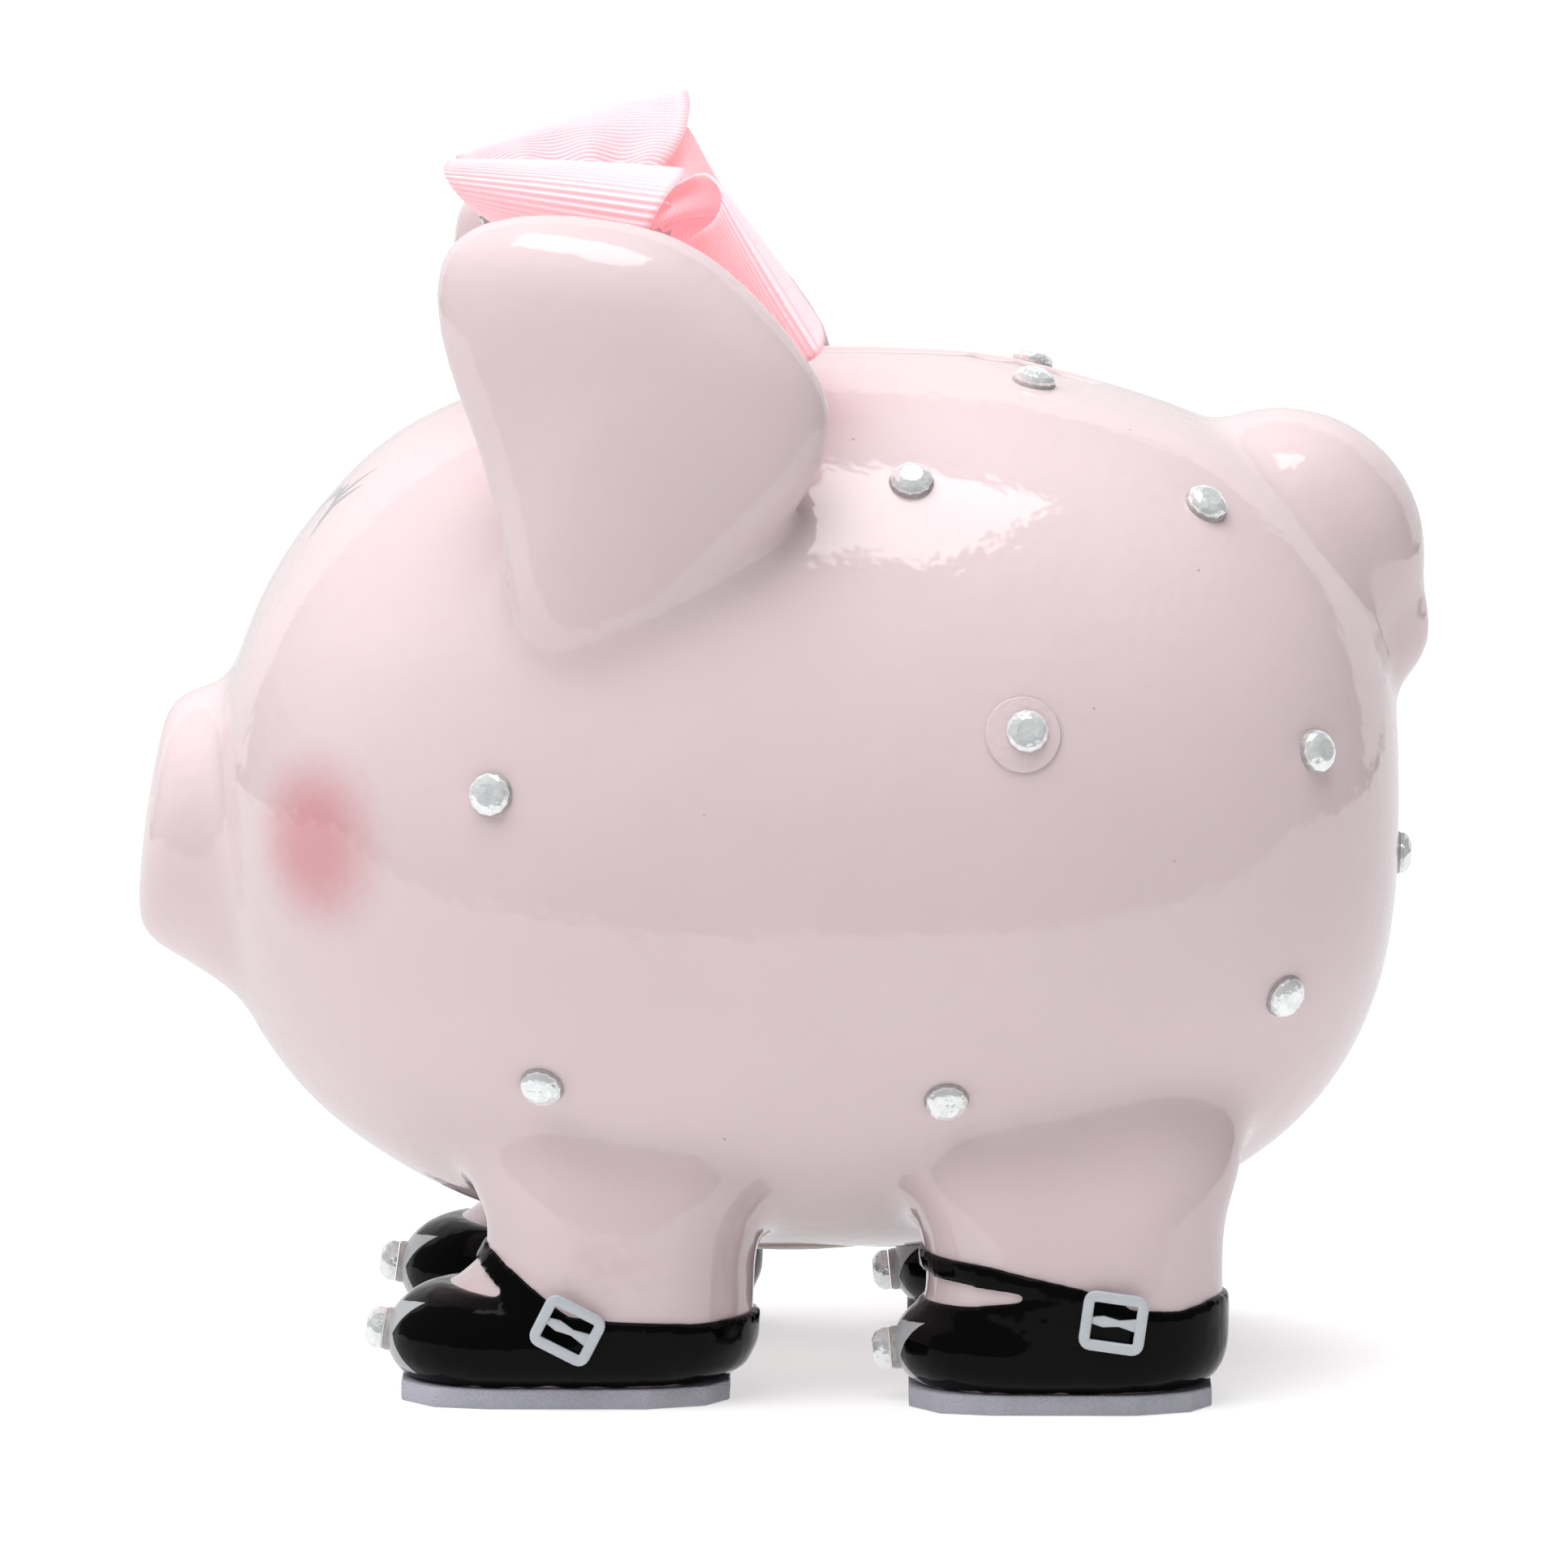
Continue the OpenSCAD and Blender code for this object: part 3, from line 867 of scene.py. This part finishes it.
def sole_pad(foot):
    """A foam pad cut by hand, with its corners cut straight."""
    low, high = box_mm(foot.name + "_sole_pad")
    x0, x1, y0, y1 = low.x, high.x, low.y, high.y
    w, l = (x1 - x0), (y1 - y0)
    outline = [(x0 + 0.30 * w, y0), (x0 + 0.70 * w, y0), (x0 + 0.93 * w, y0 + 0.10 * l),
               (x1, y0 + 0.27 * l), (x1, y0 + 0.75 * l), (x0 + 0.88 * w, y0 + 0.93 * l),
               (x0 + 0.68 * w, y1), (x0 + 0.3 * w, y1), (x0 + 0.1 * w, y0 + 0.92 * l),
               (x0, y0 + 0.74 * l), (x0, y0 + 0.26 * l), (x0 + 0.08 * w, y0 + 0.1 * l)]
    pad = ring(foot.name + "_foam_pad", [mm(x, y, 0) for x, y in outline])
    bpy.ops.mesh.edge_face_add()
    bpy.ops.mesh.extrude_region_move(TRANSFORM_OT_translate={"value": (0, 0, (high.z + 0.6) * MM)})
    close_up(pad)
    modified(pad, "BEVEL", width=0.35 * MM, segments=3, limit_method="ANGLE", angle_limit=radians(20))
    return smooth(pad, 30)


# ---------------------------------------------------------------- stopper, stones and brooch


def stopper():
    """A rubber plug: a rounded flange with a finger pull, and a ribbed cup neck."""
    low, high = box_mm("belly_stopper")
    flange = (high.x - low.x) / 2
    seat = low.z + 2.2
    neck = flange - 3.2
    top = high.z
    curve = [radians(30 * k) for k in range(-2, 4)]
    rim = [(flange - 0.5 + 0.45 * cos(a), low.z + 1.65 + 0.45 * sin(a)) for a in curve]
    profile = [(0, low.z + 0.1), (4.2, low.z + 0.1), (4.9, low.z + 0.5), (5.0, low.z + 1.3),
               (7.8, low.z + 1.3), (8.1, low.z + 0.35), (8.8, low.z + 0.15), (12, low.z + 0.5), *rim,
               (flange - 1.4, seat), (neck - 0.5, seat), (neck - 0.45, seat + 1.6), (neck - 0.1, seat + 2.2),
               (neck - 0.1, seat + 2.8), (neck - 0.5, seat + 3.4), (neck - 0.45, seat + 4.6),
               (neck - 0.1, seat + 5.2), (neck - 0.1, seat + 5.8), (neck - 0.5, seat + 6.4),
               (neck - 1.3, top - 0.3), (neck - 2.0, top), (neck - 2.8, top - 0.3), (neck - 3.0, top - 1.0),
               (neck - 3.0, seat + 2.0), (neck - 3.8, seat + 1.2), (0, seat + 1.2)]
    return smooth(turned("rubber_stopper", profile, (0, BODY_Y, 0), UP, 96), 40)


def stone_form():
    """A flat-backed cut stone standing on +Z: girdle, two rings of facets and a table."""
    sides, radius = 12, 3.2
    deselect()
    bpy.ops.mesh.primitive_circle_add(vertices=sides, radius=radius * MM, fill_type="NGON",
                                      location=(0, 0, 0.25 * MM))
    obj = named(bpy.context.object, "stone_form")
    bpy.ops.object.mode_set(mode="EDIT")
    bpy.ops.mesh.select_all(action="SELECT")
    half_step = pi / sides
    levels = [(3.25, 0.75, 0), (2.75, 0.65, half_step), (1.75, 0.5, half_step)]
    last = radius
    for r, rise, turn in levels:
        bpy.ops.mesh.extrude_region_move(TRANSFORM_OT_translate={"value": (0, 0, rise * MM)})
        bpy.ops.transform.resize(value=(r / last, r / last, 1), center_override=(0, 0, 0))
        bpy.ops.transform.rotate(value=turn, orient_axis="Z", center_override=(0, 0, 0))
        last = r
    bpy.ops.mesh.select_all(action="SELECT")
    bpy.ops.mesh.quads_convert_to_tris()
    close_up(obj)
    modified(obj, "BEVEL", width=0.07 * MM, segments=1, limit_method="ANGLE", angle_limit=radians(8))
    return obj


def glue_form(name, spread, height, deep=0.7):
    """The bead of glue that squeezes out under a stone."""
    profile = [(0, -deep), (spread, -deep), (spread, 0.05), (spread - 0.15, 0.3), (3.2, height), (0, height)]
    return turned(name, profile, (0, 0, 0), UP, 32)


def stone_places(node):
    """Where each solid of a group of stones stands, in metres."""
    mesh = bmesh.new()
    mesh.from_mesh(frame["nodes"][node].data)
    bmesh.ops.remove_doubles(mesh, verts=mesh.verts, dist=0.001 * MM)
    left = set(mesh.verts)
    places = []
    while left:
        found, fresh = set(), {left.pop()}
        while fresh:
            vert = fresh.pop()
            found.add(vert)
            fresh |= {e.other_vert(vert) for e in vert.link_edges} - found
        left -= found
        places.append(sum((v.co for v in found), Vector()) / len(found))
    mesh.free()
    return sorted(places, key=lambda p: (round(p.y, 5), round(p.z, 5), round(p.x, 5)))


def seated(surface, point):
    """A matrix that stands +Z on the surface nearest the point, turned a little by its place."""
    _, spot, normal, _ = surface.closest_point_on_mesh(point)
    stand = UP.rotation_difference(normal).to_matrix().to_4x4()
    turn = Matrix.Rotation((spot.y + spot.z) * 97, 4, "Z")
    return Matrix.Translation(spot) @ stand @ turn


# ---------------------------------------------------------------- ribbon bow


def ribbon(name, front, rear, width, pitch, pleats=0.0, crown=0.0):
    """A ribbon between two selvages, with its ribs as real ridges; the selvages are given in millimetres."""
    steps = 400
    front = [Vector(p) for p in front]
    rear = [Vector(p) for p in rear]
    middle = [(along(front, k / steps) + along(rear, k / steps)) / 2 for k in range(steps + 1)]
    runs = [0.0]
    for a, b in zip(middle, middle[1:]):
        runs.append(runs[-1] + (b - a).length)
    total = runs[-1]
    rows = int(ceil(total / (pitch / MM) * 6))
    columns = 26
    half_thick, rib_height = 0.16, 0.15
    centres, at = [], 0
    for i in range(rows + 1):
        want = total * i / rows
        while at < steps - 1 and runs[at + 1] < want:
            at += 1
        t = (at + (want - runs[at]) / max(runs[at + 1] - runs[at], 1e-9)) / steps
        a, b = along(front, t), along(rear, t)
        end = min(want, total - want) / total
        # Where the selvages come closer than the ribbon is wide, it stands in pleats
        spare = sqrt(max((width / MM) ** 2 - (b - a).length_squared, 0))
        gather = min(spare / 12.6, pleats) * max(0.0, 1 - end / 0.28)
        bulge = crown * min(1.0, end / 0.25)
        centres.append((a, b, gather, bulge, want))
    grid = []
    for i, (a, b, gather, bulge, want) in enumerate(centres):
        before, after = centres[max(i - 1, 0)], centres[min(i + 1, rows)]
        ahead = (after[0] + after[1] - before[0] - before[1]).normalized()
        row = []
        for j in range(columns + 1):
            v = j / columns
            out = ahead.cross(b - a).normalized()
            lift = gather * sin(v * 3 * 2 * pi) + bulge * sin(v * pi)
            row.append(a.lerp(b, v) + out * lift)
        grid.append(row)
    mesh = bmesh.new()
    cloth = mesh.loops.layers.uv.new("cloth")
    sheets = []
    for face in (1, -1):
        verts = []
        for i in range(rows + 1):
            row = []
            for j in range(columns + 1):
                du = grid[min(i + 1, rows)][j] - grid[max(i - 1, 0)][j]
                dv = grid[i][min(j + 1, columns)] - grid[i][max(j - 1, 0)]
                out = du.cross(dv).normalized()
                edge = min(j, columns - j) / columns
                rib = rib_height * cos(2 * pi * centres[i][4] * MM / pitch) * (1 if edge > 0.03 else 0.3)
                row.append(mesh.verts.new((grid[i][j] + out * face * (half_thick + rib)) * MM))
            verts.append(row)
        sheets.append(verts)
    top, bottom = sheets

    def skin_quad(corners, places):
        made = mesh.faces.new(corners)
        made.smooth = True
        for loop, (i, j) in zip(made.loops, places):
            loop[cloth].uv = (centres[i][4] * MM, j / columns * width)

    for i in range(rows):
        for j in range(columns):
            places = [(i, j), (i + 1, j), (i + 1, j + 1), (i, j + 1)]
            skin_quad([top[a][b] for a, b in places], places)
            skin_quad([bottom[a][b] for a, b in reversed(places)], places[::-1])
    for i in range(rows):
        for j in (0, columns):
            places = [(i, j), (i + 1, j), (i + 1, j), (i, j)]
            corners = [top[i + 1][j], top[i][j], bottom[i][j], bottom[i + 1][j]]
            skin_quad(corners if j == 0 else corners[::-1], places)
    for j in range(columns):
        for i in (0, rows):
            places = [(i, j), (i, j + 1), (i, j + 1), (i, j)]
            corners = [top[i][j], top[i][j + 1], bottom[i][j + 1], bottom[i][j]]
            skin_quad(corners if i == 0 else corners[::-1], places)
    data = bpy.data.meshes.new(name)
    mesh.normal_update()
    mesh.to_mesh(data)
    mesh.free()
    obj = bpy.data.objects.new(name, data)
    bpy.context.scene.collection.objects.link(obj)
    return obj, total * MM


def bow_loops(side):
    """The selvages of one side's two loops, each from the knot out and back, in millimetres."""
    s = SIDES[side]
    if side == "left":
        front = ([(3, -42, 181), (9, -48.5, 186.8), (16, -51.2, 188.2), (20.5, -51.9, 186.5),
                  (20, -49, 182.5), (14, -44.5, 178.5), (3, -41, 175)],
                 [(3, -26, 179), (12, -19, 185), (22, -15.5, 187.4), (31, -15.6, 186.6), (37, -18, 184),
                  (37.5, -20.6, 179), (33, -22.5, 174.5), (17, -25, 171), (3, -26, 172)])
        rear = ([(3, -22, 180), (9, -16.5, 184), (16, -12.8, 186.3), (23, -10.5, 185.8), (28, -9.3, 183.5),
                 (27, -10.5, 180), (20, -15, 176), (3, -19, 171)],
                [(3, -12, 174), (14, -3, 171), (28, 3, 167.5), (40, 6.2, 164), (45, 5.5, 161), (38, 1.5, 159),
                 (20, -7, 160.5), (3, -12, 165)])
    else:
        front = ([(3, -42, 179.5), (10, -48.5, 185), (17, -51, 186.5), (22, -50.5, 184), (20, -48, 179),
                  (13, -45, 175.5), (3, -41, 174)],
                 [(3, -25, 180), (9, -18.5, 186), (17, -15.7, 189.8), (28, -14.8, 193.5), (37, -15.4, 195.3),
                  (43, -16, 191.5), (40, -17, 184), (22, -22, 174), (3, -26, 173)])
        rear = ([(3, -22, 180), (12, -19, 187), (22, -17, 190.5), (31, -15, 189.5), (36, -14, 184),
                 (28, -15, 175), (3, -19, 171)],
                [(3, -12, 174), (14, -6, 172.5), (28, -2.5, 170), (40, -1, 166.5), (44, -2, 162),
                 (36, -5, 159.5), (18, -9, 161), (3, -12, 165)])
    return [[[(s * x, y, z) for x, y, z in selvage] for selvage in loop] for loop in (front, rear)]


def knot_band():
    """The ribbon wrapped round the middle of the bow, as its two selvages in millimetres."""
    steps, half_width = 20, 6.5
    centre, half_y, half_z = Vector((0, -26, 169.5)), 19.5, 12.6
    turns = [2 * pi * (k / steps) - pi / 2 for k in range(steps + 1)]
    front = [(-half_width, centre.y + half_y * cos(a), centre.z + half_z * sin(a)) for a in turns]
    rear = [(half_width, y, z) for _, y, z in front]
    return front, rear


# ---------------------------------------------------------------- settings


class BankSizes(bpy.types.PropertyGroup):
    skin_grain: FloatProperty(name="Skin grain", description="Size of the casting's mesh cells",
                              default=1.2 * MM, unit="LENGTH")
    shoe_grain: FloatProperty(name="Shoe grain", description="Size of the shoes' mesh cells",
                              default=0.7 * MM, unit="LENGTH")
    cast_rounding: IntProperty(name="Cast rounding", description="How often the casting's creases are eased",
                               default=26)
    hollow_rounding: IntProperty(name="Hollow rounding", description="How often the legs' roots are eased",
                                 default=36)
    glaze_rounding: IntProperty(name="Glaze rounding",
                                description="How often the glaze eases the slot's lips", default=10)
    slot_length: FloatProperty(name="Slot length", description="Length of the coin slot",
                               default=45 * MM, unit="LENGTH")
    slot_width: FloatProperty(name="Slot width", description="Width of the coin slot",
                              default=6.2 * MM, unit="LENGTH")
    ribbon_width: FloatProperty(name="Ribbon width", description="Width of the bow's ribbon",
                                default=38 * MM, unit="LENGTH")
    rib_pitch: FloatProperty(name="Rib pitch", description="Distance between the ribbon's ribs",
                             default=0.95 * MM, unit="LENGTH")


def color_setting(name, description, default):
    """A colour property in linear light."""
    return FloatVectorProperty(name=name, description=description, default=default, subtype="COLOR",
                               min=0, max=1)


class BankColors(bpy.types.PropertyGroup):
    skin: color_setting("Skin", "Pink glaze of the casting", (0.60, 0.49, 0.505))
    blush: color_setting("Blush", "Sprayed cheeks", (0.50, 0.19, 0.205))
    speck: color_setting("Specks", "Fired specks in the glaze", (0.25, 0.15, 0.12))
    paint: color_setting("Face paint", "Grey of the closed eyes", (0.26, 0.26, 0.26))
    shoe: color_setting("Shoes", "Black glaze of the shoes", (0.002, 0.002, 0.0022))
    star: color_setting("Stars", "Painted stars on the toes", (0.36, 0.37, 0.38))
    buckle: color_setting("Buckles", "Painted buckles", (0.46, 0.49, 0.52))
    pad: color_setting("Sole pads", "Foam of the sole pads", (0.44, 0.44, 0.50))
    stopper: color_setting("Stopper", "Rubber of the stopper", (0.78, 0.74, 0.70))
    ribbon: color_setting("Ribbon", "Ribs of the ribbon", (0.95, 0.54, 0.575))
    # Painted shade for the grooves between the ribbon's ribs
    ribbon_painted_shade: color_setting("Ribbon shade", "Between the ribbon's ribs", (0.88, 0.34, 0.39))


# ---------------------------------------------------------------- operators


class BANK_OT_casting(bpy.types.Operator):
    """Model the hollow glazed casting: body, snout, ears, tail and legs"""

    bl_idname = "bank.casting"
    bl_label = "Casting"

    def execute(self, context):
        skin = casting(context.scene.bank_sizes)
        legs = [foot.name + "_leg" for foot in FEET]
        dressed(named(skin, "glazed_casting"), "bank", "pink_glaze", pink_glaze(context.scene.bank_colors),
                "body_shell", "left_ear", "right_ear", "tail", *legs)
        return {"FINISHED"}


class BANK_OT_shoes(bpy.types.Operator):
    """Model the four buckled shoes and their sole pads"""

    bl_idname = "bank.shoes"
    bl_label = "Shoes"

    def execute(self, context):
        sizes, colors = context.scene.bank_sizes, context.scene.bank_colors
        paint, pads = painted_metal(colors), foam(colors)
        for foot in FEET:
            dressed(shoe(foot, sizes), "bank", "black_glaze", shoe_glaze(colors, foot), foot.name + "_shoe")
            dressed(buckle(foot), "bank", "silver", paint)
            dressed(sole_pad(foot), "bank", "sole_pad", pads, foot.name + "_sole_pad")
        return {"FINISHED"}


class BANK_OT_stopper(bpy.types.Operator):
    """Model the rubber stopper in the belly"""

    bl_idname = "bank.stopper"
    bl_label = "Stopper"

    def execute(self, context):
        dressed(stopper(), "stopper", "stopper_rubber", rubber(context.scene.bank_colors), "belly_stopper")
        return {"FINISHED"}


class BANK_OT_stones(bpy.types.Operator):
    """Model one cut stone and its glue, and set copies on the flanks, the rump and the toes"""

    bl_idname = "bank.stones"
    bl_label = "Stones"

    def execute(self, context):
        stone, bead, tall = stone_form(), glue_form("bead", 3.45, 0.45), glue_form("tall_bead", 3.3, 0.5, 1.5)
        crystal, dark = crystal_glass(), glue()
        skin = bpy.data.objects["glazed_casting"]
        for node in ("left_flank_stones", "right_flank_stones", "rump_stone", "toe_stones"):
            stones, beads = [], []
            for k, point in enumerate(stone_places(node)):
                surface = skin
                if node == "toe_stones":
                    foot = min(FEET, key=lambda f: (mm(f.x, f.toe_y, f.star_z) - point).length)
                    surface = bpy.data.objects[foot.name + "_shoe_glaze"]
                seat = seated(surface, point)
                lift, under, thick = (0.3, tall, 1.35) if node == "toe_stones" else (0, bead, 1)
                raised = seat @ Matrix.Translation(mm(0, 0, lift)) @ Matrix.Scale(thick, 4, (0, 0, 1))
                stones.append(duplicate(stone, f"{node}_cut_{k}", raised))
                beads.append(duplicate(under, f"{node}_bead_{k}", seat))
            dressed(joined(node + "_cut", stones), "bank", "crystal", crystal, node)
            dressed(smooth(joined(node + "_glue", beads)), "bank", "crystal", dark)
        # One stone on the left flank sits in a wide ring of clear glue
        ring_seat = seated(skin, mm(BODY_RADIUS, 37, BODY_Z + 18))
        spill = named(glue_form("spill", 5.8, 0.6), "clear_glue_ring")
        spill.data.transform(ring_seat)
        dressed(smooth(spill), "bank", "crystal", clear_glue())
        for spare in (stone, bead, tall):
            bpy.data.objects.remove(spare)
        return {"FINISHED"}


class BANK_OT_bow(bpy.types.Operator):
    """Model the four ribbon loops and the band round their middle"""

    bl_idname = "bank.bow"
    bl_label = "Bow"

    def execute(self, context):
        sizes = context.scene.bank_sizes
        cloth = ribbon_cloth(context.scene.bank_colors, sizes.rib_pitch)
        width = sizes.ribbon_width
        for side in SIDES:
            for end, (front, rear) in zip(("front", "rear"), bow_loops(side)):
                name = f"bow_{end}_{side}_ribbon"
                crown = -2.2 if name == "bow_front_right_ribbon" else 0.4
                pleats = 1.5 if end == "front" else 2.0
                loop, length = ribbon(name, front, rear, width, sizes.rib_pitch, pleats=pleats, crown=crown)
                dressed(loop, "bank", "ribbon", cloth, f"bow_{end}_{side}_loop")
        front, rear = knot_band()
        band, length = ribbon("bow_knot_band", front, rear, 13 * MM, sizes.rib_pitch)
        dressed(band, "bank", "ribbon", cloth, "bow_knot")
        return {"FINISHED"}


class BANK_OT_brooch(bpy.types.Operator):
    """Model the brooch on the front of the bow"""

    bl_idname = "bank.brooch"
    bl_label = "Brooch"

    def execute(self, context):
        low, high = box_mm("brooch_setting")
        radius = (high.x - low.x) / 2
        lean = Matrix.Rotation(radians(110), 4, "X")
        stand = Matrix.Translation((low + high) / 2 * MM + mm(0, 2.2, 0)) @ lean
        profile = [(0, -1.0), (radius - 0.6, -1.0), (radius, -0.4), (radius, 0.3), (radius - 0.3, 0.9),
                   (radius - 0.8, 1.0), (radius - 1.0, 0.4), (3.9, 0.4), (3.6, 1.3), (3.1, 1.4),
                   (2.9, 0.6), (0, 0.6)]
        disc = turned("brooch_disc", profile, (0, 0, 0), UP, 48)
        stone = stone_form()
        small = 3.4 / 6.5
        count = 10
        parts, claws = [duplicate(stone, "centre", Matrix.Translation(mm(0, 0, 0.4)))], [disc]
        for k in range(count):
            turn = Matrix.Rotation(2 * pi * k / count, 4, "Z")
            out = turn @ Matrix.Translation(mm(radius - 2.2, 0, 0.2)) @ Matrix.Scale(small, 4)
            parts.append(duplicate(stone, f"small_{k}", out))
            deselect()
            bpy.ops.mesh.primitive_ico_sphere_add(subdivisions=2, radius=0.45 * MM, location=mm(0, 0, 0))
            claw = named(bpy.context.object, f"claw_{k}")
            step = Matrix.Rotation(2 * pi * (k + 0.5) / count, 4, "Z")
            claw.data.transform(step @ Matrix.Translation(mm(radius - 1.1, 0, 1.0)))
            claws.append(claw)
        bpy.data.objects.remove(stone)
        stones = joined("brooch_cut_stones", parts)
        setting = joined("brooch_silver_setting", claws)
        for piece in (stones, setting):
            piece.data.transform(stand)
        dressed(stones, "bank", "crystal", crystal_glass(), "brooch_stones")
        dressed(smooth(setting, 35), "bank", "silver", silver_plate(), "brooch_setting")
        return {"FINISHED"}


class BANK_OT_stage(bpy.types.Operator):
    """Add the white floor, the soft lights and the camera"""

    bl_idname = "bank.stage"
    bl_label = "Stage"

    def execute(self, context):
        scene = context.scene
        flat = Matrix.Identity(4)
        standing = Matrix.Translation((-2, 0, 1.2)) @ Matrix.Rotation(pi / 2, 4, "Y")
        self.paper("floor", (28, 28), flat, seen_by_gloss=False)
        self.paper("bright_patch", (2.21, 2.4), Matrix.Translation((-0.9, 0, 0)), seen_by_gloss=True)
        self.paper("bright_wall", (2.4, 5), standing, seen_by_gloss=True, glow=0.2)
        self.light("overhead_softbox", (0.12, -0.06, 1.35), (0.0, 0.0, 0.0), (0.75, 0.6), 4.6, True)
        self.light("front_fill", (2.6, -0.6, 1.2), (0, 0, 0.08), (2.0, 2.0), 3, False)
        sun = bpy.data.objects.new("white_sky", bpy.data.lights.new("white_sky", "SUN"))
        sun.data.energy = 5.0
        sun.data.angle = radians(80)
        sun.rotation_euler = Vector((0.06, -0.3, 1)).to_track_quat("Z", "Y").to_euler()
        sun.visible_glossy = False
        scene.collection.objects.link(sun)
        world = bpy.data.worlds.new("studio")
        scene.world = world
        world.use_nodes = True
        world.node_tree.nodes["Background"].inputs["Color"].default_value = (0.98, 0.97, 1.0, 1)
        world.node_tree.nodes["Background"].inputs["Strength"].default_value = 0.14
        scene.view_settings.view_transform = "Standard"
        camera = bpy.data.objects.new("camera", bpy.data.cameras.new("camera"))
        scene.collection.objects.link(camera)
        aim, far, rise, turn = Vector((0, 0, 0.0902)), 2.5, radians(6.5), radians(0.3)
        camera.location = aim + Vector((cos(rise) * cos(turn), cos(rise) * sin(turn), sin(rise))) * far
        camera.rotation_euler = (aim - camera.location).to_track_quat("-Z", "Y").to_euler()
        camera.data.lens = 370
        camera.data.sensor_width = 36
        camera.data.clip_end = 60
        scene.camera = camera
        return {"FINISHED"}

    def paper(self, name, size, matrix, seen_by_gloss, glow=0.55):
        """A sheet of white paper: one that the camera sees, or one that only the glaze mirrors."""
        deselect()
        bpy.ops.mesh.primitive_plane_add(size=1, location=(0, 0, 0))
        floor = named(bpy.context.object, name)
        floor.scale = (*size, 1)
        place(floor)
        floor.data.transform(matrix)
        finish = Finish(name + "_paper")
        grain = finish.noise(finish.object_place(), 0.05, 2)
        finish.set(Base_Color=finish.mix(grain, (0.54, 0.54, 0.54), (0.51, 0.51, 0.515)), Roughness=0.9)
        finish.set(Specular_IOR_Level=0.1, Emission_Color=(1, 0.99, 0.995), Emission_Strength=glow)
        floor.data.materials.append(finish.material)
        floor.visible_glossy = seen_by_gloss
        floor.visible_camera = not seen_by_gloss
        floor.visible_diffuse = not seen_by_gloss
        floor.visible_shadow = not seen_by_gloss

    def light(self, name, spot, aim, size, power, seen_by_gloss):
        """A soft rectangular lamp at a spot, turned to its aim."""
        lamp = bpy.data.lights.new(name, "AREA")
        lamp.shape = "RECTANGLE"
        lamp.size, lamp.size_y = size
        lamp.energy = power
        obj = bpy.data.objects.new(name, lamp)
        bpy.context.scene.collection.objects.link(obj)
        obj.location = spot
        obj.rotation_euler = (Vector(aim) - Vector(spot)).to_track_quat("-Z", "Y").to_euler()
        obj.visible_glossy = seen_by_gloss
        obj.visible_camera = False


class BANK_PT_panel(bpy.types.Panel):
    """Lists the bank's sizes, colours and pieces"""

    bl_label = "Piggy bank"
    bl_idname = "BANK_PT_panel"
    bl_space_type = "VIEW_3D"
    bl_region_type = "UI"
    bl_category = "Piggy bank"

    def draw(self, context):
        for group in (context.scene.bank_sizes, context.scene.bank_colors):
            box = self.layout.box()
            for key in group.bl_rna.properties.keys():
                if key not in ("rna_type", "name"):
                    box.prop(group, key)
        for operator in OPERATORS:
            self.layout.operator(operator.bl_idname)


OPERATORS = (BANK_OT_stage, BANK_OT_casting, BANK_OT_shoes, BANK_OT_stopper, BANK_OT_stones, BANK_OT_bow,
             BANK_OT_brooch)
CLASSES = (BankSizes, BankColors, *OPERATORS, BANK_PT_panel)


def register():
    for cls in CLASSES:
        bpy.utils.register_class(cls)
    bpy.types.Scene.bank_sizes = PointerProperty(type=BankSizes)
    bpy.types.Scene.bank_colors = PointerProperty(type=BankColors)


def unregister():
    del bpy.types.Scene.bank_sizes
    del bpy.types.Scene.bank_colors
    for cls in reversed(CLASSES):
        bpy.utils.unregister_class(cls)


def main():
    register()
    bpy.ops.bank.stage()
    bpy.ops.bank.casting()
    bpy.ops.bank.shoes()
    bpy.ops.bank.stopper()
    bpy.ops.bank.stones()
    bpy.ops.bank.bow()
    bpy.ops.bank.brooch()


if __name__ == "__main__":
    main()
